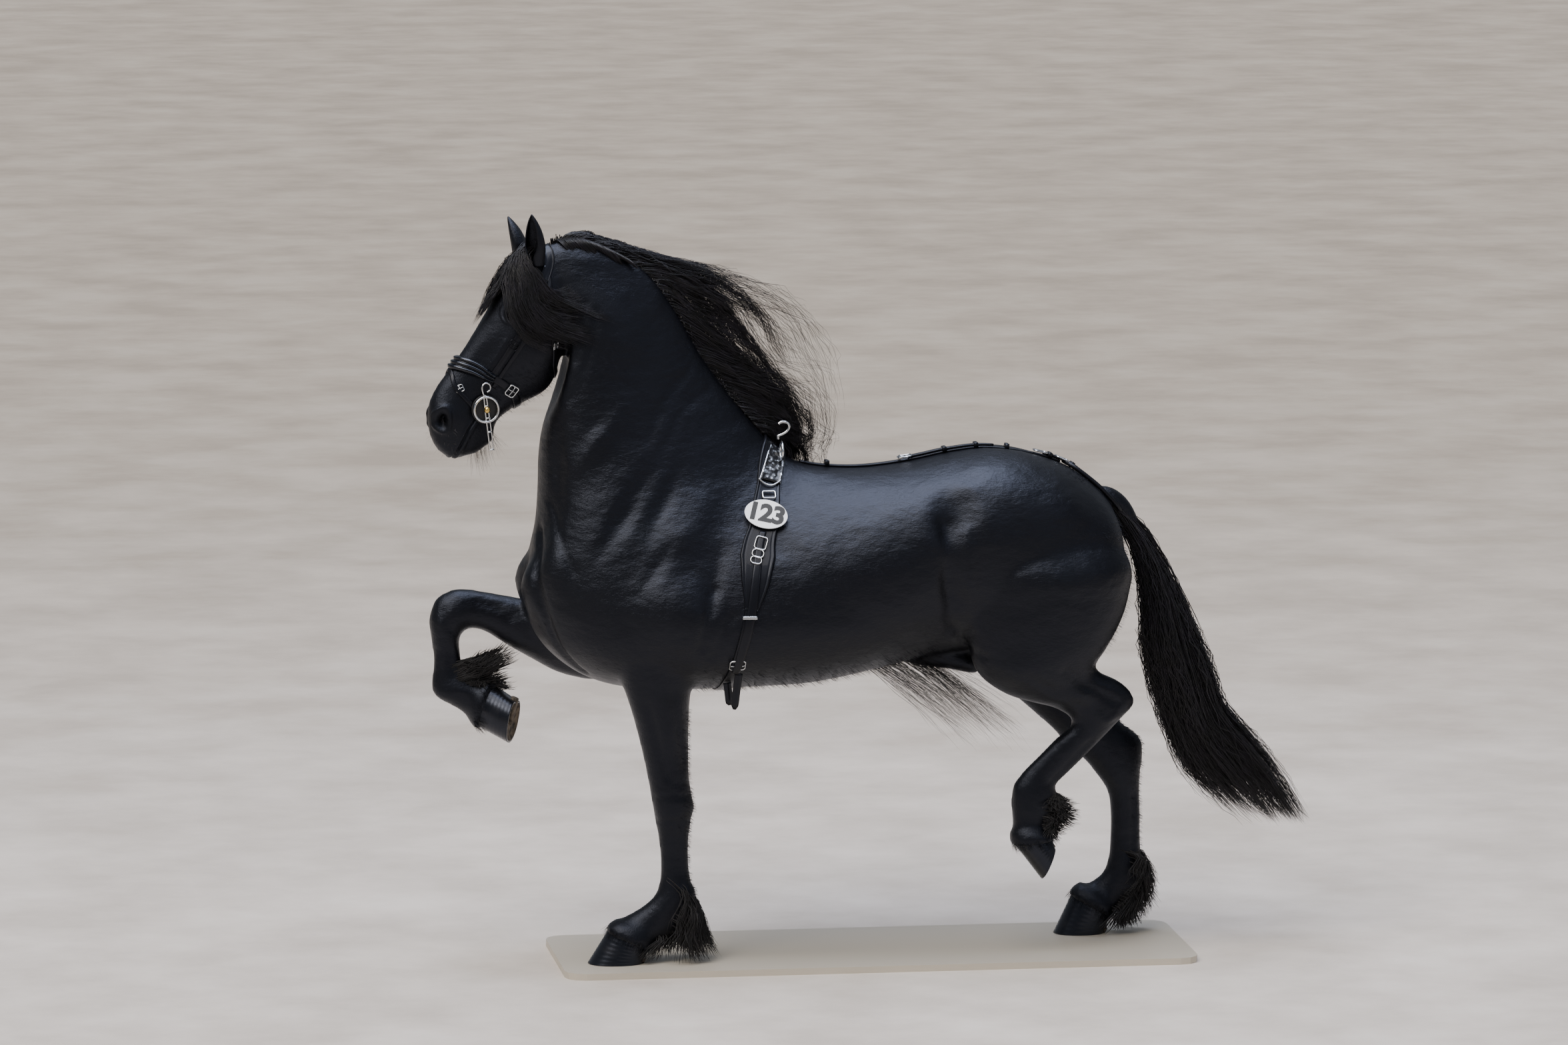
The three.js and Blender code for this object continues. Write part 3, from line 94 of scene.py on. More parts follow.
# %% Places
MM = 0.001
BASE_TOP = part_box("stand_base")[1].z
ON_BASE = np.array([0.016, 0.0, BASE_TOP + 0.0003])
POLL = np.array([-1006.0, 0.0, 2136.0])
FACE_SLOPE = math.radians(56)
HEAD_TURN = math.radians(12)
face_in, face_down = math.cos(FACE_SLOPE), math.sin(FACE_SLOPE)
turned = np.array(Matrix.Rotation(HEAD_TURN, 3, "Z"))
HEAD_AXES = turned @ np.array([[-face_in, 0, -face_down], [0, 1, 0], [-face_down, 0, face_in]]).T
HEAD_ORIGIN = POLL * MM + ON_BASE


def from_horse(points):
    """Horse millimetres to the frame's metres."""
    return np.asarray(points, float) * MM + ON_BASE


def from_head(points):
    """Head millimetres to the frame's metres."""
    return np.asarray(points, float) * MM @ HEAD_AXES.T + HEAD_ORIGIN


def to_head(points):
    """The frame's metres to head millimetres."""
    return (np.asarray(points, float) - HEAD_ORIGIN) @ HEAD_AXES / MM


print("poll at", HEAD_ORIGIN)

# %% [markdown]
# ## Camera
# The picture was taken from the horse's left with a long lens, eight degrees above it and a little
# behind square. A long lens far away keeps the near and far legs at the same scale. The lens is
# worked out from the width that it has to frame, and the camera is turned along its line of sight.

# %% Camera
VIEW_TURN = math.radians(-8)
VIEW_RISE = math.radians(8)
FAR_BACK = 25.0
FRAME_WIDTH = 4.704
LOOK_AT = Vector((-0.2307, 0.2131, 1.2796))
looking = Vector((
    -math.sin(VIEW_TURN) * math.cos(VIEW_RISE),
    math.cos(VIEW_TURN) * math.cos(VIEW_RISE),
    -math.sin(VIEW_RISE),
))
lens_data = bpy.data.cameras.new("camera")
camera = bpy.data.objects.new("camera", lens_data)
bpy.context.scene.collection.objects.link(camera)
lens_data.lens = lens_data.sensor_width * FAR_BACK / FRAME_WIDTH
lens_data.clip_end = 200
camera.location = LOOK_AT - looking * FAR_BACK
camera.rotation_mode = "QUATERNION"
camera.rotation_quaternion = looking.to_track_quat("-Z", "Y")
bpy.context.scene.camera = camera
print("lens", round(lens_data.lens, 1), "mm")

# %% [markdown]
# ## Helpers
# An operator acts on all that is selected, so each helper first selects only its own piece. A piece
# that is finished sits at the origin, with its place in its mesh, as the solids of the frame do.

# %% Selecting, applying and joining
# One source of chance for everything, so that each run grows the same hair.
rng = np.random.default_rng(5)


def deselect():
    if bpy.context.object and bpy.context.object.mode != "OBJECT":
        bpy.ops.object.mode_set(mode="OBJECT")
    bpy.ops.object.select_all(action="DESELECT")


def activate(thing):
    deselect()
    thing.select_set(True)
    bpy.context.view_layer.objects.active = thing
    return thing


def apply(thing, kind, **settings):
    """Adds a modifier with its settings and applies it."""
    activate(thing)
    modifier = thing.modifiers.new(kind.lower(), kind)
    for key, value in settings.items():
        setattr(modifier, key, value)
    bpy.ops.object.modifier_apply(modifier=modifier.name)
    return thing


def place(thing):
    """Puts a piece's place in its mesh, with its object at the origin."""
    activate(thing)
    bpy.ops.object.transform_apply(location=True, rotation=True, scale=True)
    return thing


def join(things, name):
    deselect()
    for thing in things:
        thing.select_set(True)
    bpy.context.view_layer.objects.active = things[0]
    bpy.ops.object.join()
    things[0].name = name
    things[0].data.name = name
    return things[0]


def face_outwards(thing):
    activate(thing)
    bpy.ops.object.mode_set(mode="EDIT")
    bpy.ops.mesh.select_all(action="SELECT")
    bpy.ops.mesh.normals_make_consistent(inside=False)
    bpy.ops.object.mode_set(mode="OBJECT")
    return thing


def fit(thing, slot, *replaced):
    """Fixes a piece to the horse's body and hides the solids it replaces; `slot`, the slot of its finish, is
    not used.
    """
    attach(thing, BODY)
    if replaced:
        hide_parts(*replaced)
    return thing


print("helpers ready")


# %% Meshes as arrays
def mesh_of(name, points, faces):
    """A smooth mesh object from points and faces that all have the same number of corners."""
    points = np.ascontiguousarray(points, dtype=np.float32)
    faces = np.ascontiguousarray(faces, dtype=np.int32)
    data = bpy.data.meshes.new(name)
    count, corners = faces.shape
    data.vertices.add(len(points))
    data.vertices.foreach_set("co", points.ravel())
    data.loops.add(faces.size)
    data.loops.foreach_set("vertex_index", faces.ravel())
    data.polygons.add(count)
    data.polygons.foreach_set("loop_start", np.arange(0, faces.size, corners, dtype=np.int32))
    data.update(calc_edges=True)
    data.polygons.foreach_set("use_smooth", np.ones(count, dtype=bool))
    thing = bpy.data.objects.new(name, data)
    bpy.context.scene.collection.objects.link(thing)
    return thing


def points_of(thing):
    flat = np.empty(len(thing.data.vertices) * 3, dtype=np.float32)
    thing.data.vertices.foreach_get("co", flat)
    return flat.reshape(-1, 3).astype(float)


def set_points(thing, points):
    thing.data.vertices.foreach_set("co", np.asarray(points, dtype=np.float32).ravel())
    thing.data.update()


def normals_of(thing):
    flat = np.empty(len(thing.data.vertices) * 3, dtype=np.float32)
    thing.data.vertex_normals.foreach_get("vector", flat)
    return flat.reshape(-1, 3).astype(float)


def unit(vectors):
    """The same directions with a length of one."""
    return vectors / (np.linalg.norm(vectors, axis=-1, keepdims=True) + 1e-12)


def ramp(value, low, high):
    """0 below low, 1 above high, and smooth between them."""
    t = np.clip((np.asarray(value, float) - low) / (high - low), 0, 1)
    return t * t * (3 - 2 * t)


def circle(count):
    """Angles that go once round, evenly."""
    return np.linspace(0, 2 * math.pi, count, endpoint=False)


def bell(value, width):
    """1 where the value is nothing, and next to nothing from twice the width on."""
    return np.exp(-((value / width) ** 2))


print("mesh helpers ready")

# %% [markdown]
# ## The flesh
# The body is lofted through the same cross-sections as the solids, only with many more of them and a
# smooth curve between, then all the lofts are fused by a voxel remesh. It could be sculpted by hand,
# but sections keep it to the measures of the solids. A fused skin has no seams where a leg meets the
# trunk, which is what a real coat looks like. It is drawn in by the coat's depth.

# %% Sections of the trunk
# Each section runs from its top or front point to its low or back point. Then come half its width, and
# where it isn't nothing, its place across, how much narrower its top is and, below 1, how square it is.
NECK = [
    ((-985, 2130), (-905, 1880), 62, 0, 0.1),
    ((-925, 2150), (-925, 1750), 76, 0, 0.15),
    ((-840, 2140), (-962, 1665), 90, 0, 0.25),
    ((-753, 2099), (-998, 1590), 102, 0, 0.32),
    ((-665, 2025), (-1012, 1505), 114, 0, 0.38),
    ((-592, 1918), (-1015, 1410), 128, 0, 0.42),
    ((-525, 1800), (-1022, 1310), 146, 0, 0.45),
    ((-455, 1700), (-1042, 1215), 172, 0, 0.46),
]
BARREL = [
    ((-385, 1610), (-1064, 1110), 200, 0, 0.45),
    ((-320, 1535), (-1032, 985), 232, 0, 0.42),
    ((-268, 1490), (-945, 885), 258, 0, 0.36, 0.96),
    ((-210, 1468), (-820, 822), 280, 0, 0.3, 0.94),
    ((-140, 1458), (-640, 800), 300, 0, 0.22, 0.92),
    ((-55, 1455), (-430, 802), 316, 0, 0.12, 0.92),
    ((40, 1463), (-215, 810), 324, 0, 0.05, 0.92),
    ((130, 1478), (-20, 845), 318, 0, -0.02, 0.92),
    ((220, 1497), (150, 885), 300, 0, -0.08, 0.92),
    ((320, 1511), (290, 905), 290, 0, -0.14, 0.9),
    ((430, 1500), (420, 905), 286, 0, -0.1, 0.88),
    ((545, 1462), (555, 930), 262, 0, -0.04, 0.9),
    ((640, 1405), (660, 985), 222, 0, 0, 0.94),
    ((702, 1340), (722, 1070), 160),
    ((728, 1270), (742, 1150), 80),
]
print(len(NECK) + len(BARREL), "sections in the trunk")

# %% Sections of the fore legs
FORE_LEFT = [
    ((-870, 1130), (-570, 1130), 56, -100),
    ((-868, 965), (-528, 965), 86, -160),
    ((-806, 880), (-562, 880), 78, -166),
    ((-770, 800), (-577, 812), 68, -163),
    ((-744, 712), (-581, 717), 58, -158),
    ((-721, 617), (-581, 618), 49, -153),
    ((-705, 540), (-579, 545), 48, -150),
    ((-694, 480), (-569, 482), 52, -149),
    ((-685, 425), (-575, 425), 47, -148),
    ((-674, 365), (-580, 368), 35, -146),
    ((-670, 300), (-580, 300), 31, -145),
    ((-672, 240), (-575, 243), 36, -144),
    ((-690, 194), (-560, 182), 45, -143),
    ((-735, 160), (-606, 96), 43, -142),
    ((-782, 134), (-668, 58), 46, -142),
    ((-824, 98), (-702, 40), 54, -142),
]
FORE_RIGHT = [
    ((-930, 1160), (-640, 960), 86, 140),
    ((-960, 1090), (-700, 860), 84, 150),
    ((-1000, 1056), (-800, 803), 78, 160),
    ((-1045, 1056), (-925, 822), 70, 163),
    ((-1095, 1066), (-1020, 872), 61, 162),
    ((-1146, 1076), (-1093, 915), 53, 160),
    ((-1203, 1087), (-1155, 955), 49, 157),
    ((-1256, 1086), (-1200, 967), 51, 154),
    ((-1303, 1052), (-1221, 957), 53, 152),
    ((-1326, 1000), (-1231, 940), 50, 150),
    ((-1321, 950), (-1232, 918), 42, 148),
    ((-1314, 890), (-1227, 886), 33, 146),
    ((-1316, 838), (-1220, 848), 33, 144),
    ((-1320, 798), (-1200, 822), 38, 142),
    ((-1308, 765), (-1180, 805), 46, 140),
    ((-1262, 738), (-1160, 815), 44, 140),
    ((-1215, 708), (-1148, 812), 46, 140),
    ((-1176, 672), (-1130, 800), 54, 140),
]
print(len(FORE_LEFT) + len(FORE_RIGHT), "sections in the fore legs")

# %% Sections of the hind legs
HIND_LEFT = [
    ((300, 1350), (640, 1350), 70, -90),
    ((236, 1180), (740, 1180), 140, -160),
    ((234, 1060), (735, 1070), 134, -168),
    ((247, 940), (706, 985), 116, -172),
    ((280, 848), (665, 910), 98, -170),
    ((360, 786), (638, 868), 80, -165),
    ((440, 758), (652, 845), 66, -160),
    ((510, 738), (706, 820), 56, -156),
    ((556, 712), (748, 782), 52, -153),
    ((568, 692), (757, 744), 50, -150),
    ((555, 672), (722, 704), 46, -148),
    ((520, 645), (635, 612), 38, -146),
    ((470, 595), (560, 538), 33, -144),
    ((425, 550), (522, 500), 34, -142),
    ((392, 505), (530, 474), 42, -140),
    ((386, 455), (520, 425), 44, -140),
    ((390, 395), (498, 385), 42, -140),
    ((400, 325), (515, 345), 52, -140),
]
HIND_RIGHT = [
    ((300, 1350), (640, 1350), 70, 90),
    ((238, 1180), (740, 1180), 136, 160),
    ((242, 1060), (736, 1070), 126, 166),
    ((262, 940), (710, 985), 110, 168),
    ((300, 852), (690, 915), 92, 165),
    ((385, 775), (680, 832), 75, 158),
    ((470, 705), (702, 745), 60, 152),
    ((556, 628), (762, 652), 52, 148),
    ((606, 573), (832, 592), 50, 146),
    ((660, 525), (839, 532), 50, 145),
    ((700, 475), (833, 488), 45, 143),
    ((728, 430), (831, 430), 38, 142),
    ((737, 360), (833, 360), 34, 140),
    ((736, 285), (834, 285), 33, 140),
    ((731, 225), (838, 225), 38, 140),
    ((714, 180), (848, 168), 45, 140),
    ((672, 150), (795, 88), 44, 140),
    ((622, 118), (742, 50), 54, 140),
]
print(len(HIND_LEFT) + len(HIND_RIGHT), "sections in the hind legs")

# %% Sections of the sheath and the head
SHEATH = [
    ((60, 880), (85, 862), 14),
    ((110, 900), (130, 850), 44),
    ((190, 910), (215, 838), 52),
    ((265, 905), (285, 822), 48),
    ((300, 890), (318, 820), 30),
]
SKULL = [
    ((-34, -62), (10, -180), 48),
    ((6, -6), (105, -208), 64, 0, 0.1),
    ((52, 20), (190, -222), 82, 0, 0.04),
    ((105, 29), (255, -244), 96, 0, -0.04),
    ((148, 31), (300, -258), 102, 0, -0.04),
    ((190, 30), (336, -262), 103, 0, -0.03),
    ((230, 27), (364, -255), 99, 0, -0.02),
    ((280, 26), (392, -240), 88, 0, 0.02),
    ((345, 26), (430, -216), 71, 0, 0.05),
    ((405, 27), (470, -195), 59, 0, 0.06),
    ((465, 32), (512, -184), 53, 0, 0.02),
    ((520, 35), (548, -192), 53, 0, -0.06),
    ((565, 30), (580, -196), 55, 0, -0.14),
    ((603, 14), (616, -186), 51, 0, -0.14),
    ((640, -14), (646, -160), 42, 0, -0.05),
    ((664, -44), (670, -134), 31),
    ((677, -72), (680, -114), 16),
]
print(len(SKULL), "sections in the head")


# %% Lofting
def along(line, t):
    """Points on the smooth curve through the rows of `line`, for t from 0 to 1."""
    line = np.asarray(line, float)
    at = np.clip(np.asarray(t, float), 0, 1) * (len(line) - 1)
    i = np.minimum(at.astype(int), len(line) - 2)
    f = (at - i)[..., None]
    a, b = line[np.maximum(i - 1, 0)], line[i]
    c, d = line[i + 1], line[np.minimum(i + 2, len(line) - 1)]
    return 0.5 * (2 * b + (c - a) * f + (2 * a - 5 * b + 4 * c - d) * f**2 + (3 * b - a - 3 * c + d) * f**3)


def rings(stations, sides, steps):
    """A grid of points, one ring of `sides` for each of `steps` places between two stations."""
    stations = [(*top, *low, *shape, *(0, 0, 1)[len(shape) - 1:]) for top, low, *shape in stations]
    cut = along(stations, np.linspace(0, 1, (len(stations) - 1) * steps + 1))
    tx, tz, lx, lz, half, y, taper, full = (cut[:, k, None] for k in range(8))
    turn = circle(sides)[None]
    up = np.sign(np.sin(turn)) * np.abs(np.sin(turn)) ** full
    out = np.sign(np.cos(turn)) * np.abs(np.cos(turn)) ** full * (1 - taper * np.sin(turn))
    x = (tx + lx) / 2 + (tx - lx) / 2 * up
    z = (tz + lz) / 2 + (tz - lz) / 2 * up
    return np.stack([x, y + half * out, z], -1)


def grid_normals(grid):
    """Outward normals of a ring grid."""
    around = np.roll(grid, -1, 1) - np.roll(grid, 1, 1)
    down = np.gradient(grid, axis=0)
    out = np.cross(around, down)
    out /= np.linalg.norm(out, axis=-1, keepdims=True) + 1e-9
    away = grid - grid.mean(1, keepdims=True)
    return out if (out * away).sum() > 0 else -out


def swell(grid, muscles, paired=False):
    """Lifts the surface inside each ellipsoid, which leans by its degrees in the long plane."""
    out = grid_normals(grid)
    lift = np.zeros(grid.shape[:2])
    for at, reach, rise, lean in muscles:
        c, s = math.cos(math.radians(lean)), math.sin(math.radians(lean))
        for side in (1, -1) if paired and at[1] else (1,):
            x, y, z = grid[..., 0] - at[0], grid[..., 1] - side * at[1], grid[..., 2] - at[2]
            away = (((x * c + z * s) / reach[0]) ** 2 + (y / reach[1]) ** 2
                    + ((z * c - x * s) / reach[2]) ** 2)
            lift += rise * np.clip(1 - away, 0, 1) ** 2
    return grid + out * lift[..., None]


def tube_faces(count, sides):
    """Quads between the rings."""
    i, k = np.meshgrid(np.arange(count - 1), np.arange(sides), indexing="ij")
    a, b = i * sides + k, i * sides + (k + 1) % sides
    return np.stack([a, b, b + sides, a + sides], -1).reshape(-1, 4)


def closed_tube(name, grid):
    """A closed mesh through the rings, each end as a fan of quads round its middle point."""
    count, sides = grid.shape[:2]
    ends = np.stack([grid[0].mean(0), grid[-1].mean(0)])
    points = np.vstack([grid.reshape(-1, 3), ends])
    quads = tube_faces(count, sides)
    k = np.arange(0, sides, 2)
    first = np.stack([np.full(len(k), count * sides), (k + 2) % sides, k + 1, k], -1)
    base = (count - 1) * sides
    last = np.stack([np.full(len(k), count * sides + 1), base + k, base + k + 1, base + (k + 2) % sides], -1)
    return face_outwards(mesh_of(name, points, np.vstack([quads, first, last])))


print("lofting ready")

# %% [markdown]
# ## Muscles
# A thin coat shows the muscles under it, and on a black horse they read as soft highlights. Each is an
# ellipsoid that lifts or sinks the surface: its place, its reach, its height and its lean. They could
# be brushed on in sculpt mode, but a table of them can be read and changed.

# %% Muscles of the trunk
TRUNK_MUSCLES = [
    ((-640, 262, 1070), (180, 160, 150), 29, -30),
    ((-600, 215, 1300), (240, 140, 95), 17, 52),
    ((-790, 150, 1330), (250, 150, 45), -17, 58),
    ((-1035, 95, 1120), (100, 85, 120), 29, 0),
    ((-1075, 0, 1120), (80, 34, 150), -23, 0),
    ((195, 280, 1330), (95, 120, 120), -18, 0),
    ((225, 268, 1425), (70, 60, 45), 21, 0),
    ((400, 0, 1510), (240, 34, 80), -12, 0),
    ((655, 150, 1210), (110, 130, 170), 18, 0),
    ((-965, 105, 1480), (26, 90, 230), -12, 0),
    ((-800, 90, 1900), (160, 110, 120), 10, -55),
    ((-700, 225, 1180), (150, 90, 26), -12, 55),
    ((-520, 285, 1180), (40, 90, 170), -10, -18),
    ((-640, 200, 1420), (200, 90, 26), -10, 62),
    ((-850, 130, 1560), (220, 90, 40), 10, 50),
    ((190, 260, 1120), (50, 110, 130), -16, 25),
    ((300, 250, 1250), (120, 110, 150), 13, 30),
    ((520, 200, 1330), (150, 110, 90), 12, -30),
    ((-985, 165, 1200), (58, 90, 170), 16, 0),
    ((330, 275, 1090), (80, 70, 120), 12, 15),
    ((372, 270, 1010), (110, 80, 40), 9, 10),
    ((-300, 300, 1010), (260, 70, 60), 6, 0),
]
print(len(TRUNK_MUSCLES), "muscles in the trunk")

# %% Muscles of the legs and the head
LIMBS = {
    "fore_left": (FORE_LEFT, [
        ((-760, -215, 770), (50, 60, 120), 9, 0),
        ((-640, -215, 720), (60, 60, 130), 8, 0),
        ((-576, -150, 462), (24, 40, 32), 7, 0),
        ((-575, -143, 205), (30, 60, 40), 6, 0),
        ((-640, -185, 360), (20, 22, 120), -5, 0),
    ]),
    "fore_right": (FORE_RIGHT, [
        ((-1090, 220, 1010), (110, 60, 50), 9, 0),
        ((-1010, 215, 900), (110, 60, 60), 8, 0),
        ((-1300, 152, 1060), (40, 70, 40), 6, 0),
    ]),
    "hind_left": (HIND_LEFT, [
        ((390, -265, 860), (110, 90, 60), 10, -20),
        ((560, -215, 775), (110, 60, 40), 9, 0),
        ((560, -130, 1100), (60, 320, 240), -8, 12),
        ((640, -205, 760), (70, 30, 14), -6, -18),
    ]),
    "hind_right": (HIND_RIGHT, [
        ((420, 240, 840), (110, 90, 60), 10, -20),
        ((560, 205, 740), (110, 60, 40), 9, -30),
        ((560, 130, 1100), (60, 320, 240), -8, 12),
    ]),
}
SKULL_MUSCLES = [
    ((205, 100, -4), (58, 60, 34), 11, 0),
    ((135, 90, -12), (34, 50, 26), -9, 0),
    ((340, 80, -62), (130, 60, 20), 8, -4),
    ((400, 70, -20), (110, 50, 26), -6, 0),
    ((262, 105, -165), (110, 90, 80), 9, 0),
    ((455, 60, -125), (80, 60, 36), -6, 0),
    ((598, 56, -4), (50, 40, 44), 12, 0),
    ((560, 30, -190), (40, 50, 30), 11, 0),
]
print(len(SKULL_MUSCLES), "muscles in the head")

# %% Hooves in outline
# The crown and the sole of each: front point, back point and half width. Then the place across the
# horse, and how far the foot is swung round the line of its crown.
HOOVES = {
    "fore_left": ([(-824, 98), (-702, 40), 57], [(-885, 0), (-714, 0), 66], -142, 0),
    "fore_right": ([(-1176, 672), (-1130, 800), 57], [(-1084, 625), (-1058, 760), 63], 140, 22),
    "hind_left": ([(400, 325), (515, 345), 55], [(479, 221), (521, 322), 58], -140, 0),
    "hind_right": ([(622, 118), (742, 50), 57], [(566, 0), (726, 0), 61], 140, 0),
}
HOOF_SIDES = 48
HEEL_FULL = 0.92
# How far down the hoof each ring of the coronet lies, and how far it stands out.
CORONET = [(-46, -8), (-30, 3), (-16, 9), (-4, 11), (6, 8), (11, -8)]


def hoof_ring(front, back, half, y, full=HEEL_FULL, notch=0.0):
    """One ring of the hoof, rounder at the toe, with a notch between the heels."""
    turn = circle(HOOF_SIDES)
    mid, reach = (front + back) / 2, (front - back) / 2
    up = np.sign(np.sin(turn)) * np.abs(np.sin(turn)) ** full
    heel = np.clip(-np.sin(turn), 0, 1) ** 10 * notch
    at = mid + reach * (up + heel)[:, None]
    out = np.sign(np.cos(turn)) * np.abs(np.cos(turn)) ** full
    return np.stack([at[:, 0], y + half * out, at[:, 1]], -1)


def corners_of(name):
    """Front and back of the crown, then front and back of the sole."""
    crown, sole = HOOVES[name][:2]
    return [np.array(point, float) for point in (crown[0], crown[1], sole[0], sole[1])]


def down_of(name):
    """The way from the middle of the crown to the middle of the sole."""
    crown_front, crown_back, low_front, low_back = corners_of(name)
    return unit((low_front + low_back - crown_front - crown_back) / 2)


def swung(name, points):
    """Turns points of a foot about the line of its crown."""
    front, back = corners_of(name)[:2]
    y, degrees = HOOVES[name][2:]
    axis = unit(np.array([front[0] - back[0], 0, front[1] - back[1]]))
    turn = np.array(Matrix.Rotation(math.radians(degrees), 3, Vector(axis)))
    middle = np.array([(front[0] + back[0]) / 2, y, (front[1] + back[1]) / 2])
    return (points - middle) @ turn.T + middle


def coronet(name):
    """The soft bulge of skin above the hoof, which laps over its upper edge."""
    front, back = corners_of(name)[:2]
    down, across = down_of(name), unit(front - back)
    half, y = HOOVES[name][0][2], HOOVES[name][2]
    grid = [hoof_ring(front + down * t + across * out, back + down * t - across * out, half + out, y)
            for t, out in CORONET]
    return swung(name, np.array(grid))


print(len(HOOVES), "hooves outlined")

# %% Loft the flesh
COAT_DEPTH = 0.0025
trunk = swell(rings(NECK + BARREL, 72, 7), TRUNK_MUSCLES, paired=True)
flesh = [closed_tube("trunk", from_horse(trunk))]
for name, (stations, muscles) in LIMBS.items():
    flesh.append(closed_tube(name, from_horse(swell(rings(stations, 36, 6), muscles))))
    flesh.append(closed_tube(name + "_coronet", from_horse(coronet(name))))
skull = swell(rings(SKULL, 56, 7), SKULL_MUSCLES, paired=True)
flesh.append(closed_tube("skull", from_head(skull)))
flesh.append(closed_tube("sheath", from_horse(rings(SHEATH, 24, 5))))
skin = join(flesh, "skin")
print("lofted", len(skin.data.polygons), "faces")

# %% Fuse into one skin
VOXEL = 0.0115
# The smoothing already draws the skin in by this much.
SMOOTHED_IN = 0.0008
apply(skin, "REMESH", mode="VOXEL", voxel_size=VOXEL, adaptivity=0.0, use_smooth_shade=True)
apply(skin, "SMOOTH", factor=0.5, iterations=6)
set_points(skin, points_of(skin) - normals_of(skin) * (COAT_DEPTH - SMOOTHED_IN))
print("fused skin", len(skin.data.polygons), "faces")

# %% [markdown]
# ## The head
# The head gets twice the resolution, and its features are pushed into the surface by formula: the
# eye's opening with its two lids, the nostril with its rim, the line of the mouth, the lips and the
# veins over the cheek. Each formula works in the head's own frame, in millimetres.


# %% Refine where the detail is
def refine(thing, wanted):
    """Cuts the faces whose points all lie where `wanted` says, once."""
    keep = wanted(points_of(thing))
    activate(thing)
    bpy.ops.object.mode_set(mode="EDIT")
    bpy.ops.mesh.select_mode(type="VERT")
    bpy.ops.mesh.select_all(action="DESELECT")
    bpy.ops.object.mode_set(mode="OBJECT")
    thing.data.vertices.foreach_set("select", keep)
    bpy.ops.object.mode_set(mode="EDIT")
    bpy.ops.mesh.select_mode(type="FACE", use_expand=False)
    bpy.ops.mesh.subdivide(number_cuts=1, smoothness=0)
    bpy.ops.mesh.select_all(action="DESELECT")
    bpy.ops.object.mode_set(mode="OBJECT")
    return int(keep.sum())


# Down the face and out of the forehead, in millimetres.
EYE_AT = np.array([222.0, -22.0])
NOSTRIL = np.array([598.0, -20.0])
MOUTH_CORNER = np.array([502.0, -112.0])


def in_head(points):
    """The head without its poll."""
    x, y, z = to_head(points).T
    return (x > 40) & (x < 720) & (np.abs(y) < 150) & (z > -290)


def in_features(points):
    """The eyes, the nose and the mouth."""
    x, _, z = to_head(points).T
    eye = np.hypot(x - EYE_AT[0], z - EYE_AT[1]) < 52
    nose = (x > 560) & (z > -60)
    mouth = (x > 480) & (np.abs(z + 116) < 34)
    return in_head(points) & (eye | nose | mouth)


def soften(thing, where, factor, iterations):
    """Smooths the points that `where` marks."""
    group = thing.vertex_groups.new(name="soft")
    group.add([int(i) for i in np.flatnonzero(where)], 1.0, "REPLACE")
    apply(thing, "SMOOTH", factor=factor, iterations=iterations, vertex_group="soft")
    thing.vertex_groups.clear()


refine(skin, in_head)
soften(skin, in_head(points_of(skin)), 0.5, 3)
refine(skin, in_features)
soften(skin, in_features(points_of(skin)), 0.5, 2)
print("skin with a finer head", len(skin.data.polygons), "faces")


# %% Eyes, nostrils and mouth
EYE_LEAN = math.radians(-14)
NOSTRIL_LEAN = math.radians(-34)


def mouth_line(x):
    """Height of the mouth's line at a place down the face."""
    return np.interp(x, [500, 540, 580, 620, 650, 690], [-112, -107, -106, -112, -118, -122])


def surface(thing):
    return BVHTree.FromPolygons(
        [tuple(p) for p in points_of(thing)], [tuple(f.vertices) for f in thing.data.polygons])


def on_side(x, z, side, frame_of=from_horse):
    """Where a line across the horse or across its head meets the skin, in metres, or None."""
    start = Vector(frame_of([x, side * 900, z]))
    aim = (Vector(frame_of([x, 0, z])) - start).normalized()
    hit = skin_tree.ray_cast(start, aim)[0]
    return None if hit is None else np.array(hit)


def leaned(x, z, turn):
    """A place in the head's long plane, turned by an angle."""
    return x * math.cos(turn) + z * math.sin(turn), z * math.cos(turn) - x * math.sin(turn)


def eye_lift(x, z):
    """A sunk opening in the shape of an almond, the rim of its lids and a fold above them."""
    a, b = leaned(x - EYE_AT[0], z - EYE_AT[1], EYE_LEAN)
    almond = np.hypot(a / 23, b / (14.5 - 0.0035 * a**2))
    lids = -9.5 * (1 - ramp(almond, 0.78, 1.02)) + 3.0 * bell(almond - 1.22, 0.22)
    fold = 1.1 * bell(np.hypot(a / 34, (b - 4) / 26) - 1, 0.1) * (b > 0)
    return np.where(np.hypot(a, b) < 60, lids + fold, 0)


def nostril_lift(x, z):
    """A deep hole in the shape of a comma, with a raised rim."""
    c, d = leaned(x - NOSTRIL[0], z - NOSTRIL[1], NOSTRIL_LEAN)
    hole = np.hypot(c / 30, (d + 0.006 * c**2) / 20)
    rim = -26 * (1 - ramp(hole, 0.35, 1.0)) + 5 * bell(hole - 1.25, 0.24)
    return np.where(np.hypot(c, d) < 52, rim, 0)


def shape_face(points, out):
    """Moves the skin of the head by the height of its features."""
    x, y, z = to_head(points).T
    corner = np.hypot(x - MOUTH_CORNER[0], z - MOUTH_CORNER[1])
    sides = eye_lift(x, z) + nostril_lift(x, z) - 2.5 * bell(corner, 9)
    off = z - mouth_line(x)
    lips = 2.6 * bell(np.abs(off) - 9, 6) - 6 * bell(off, 2.6)
    lift = np.where(np.abs(y) > 20, sides, 0) + ramp(x, 498, 512) * lips
    return points + out * (lift * in_head(points))[:, None] * MM


skin_tree = surface(skin)
eye_places = {side: to_head(on_side(*EYE_AT, side, from_head)) for side in (-1, 1)}
set_points(skin, shape_face(points_of(skin), normals_of(skin)))
skin_tree = surface(skin)
print("eyes at", [list(place_of.round()) for place_of in eye_places.values()])


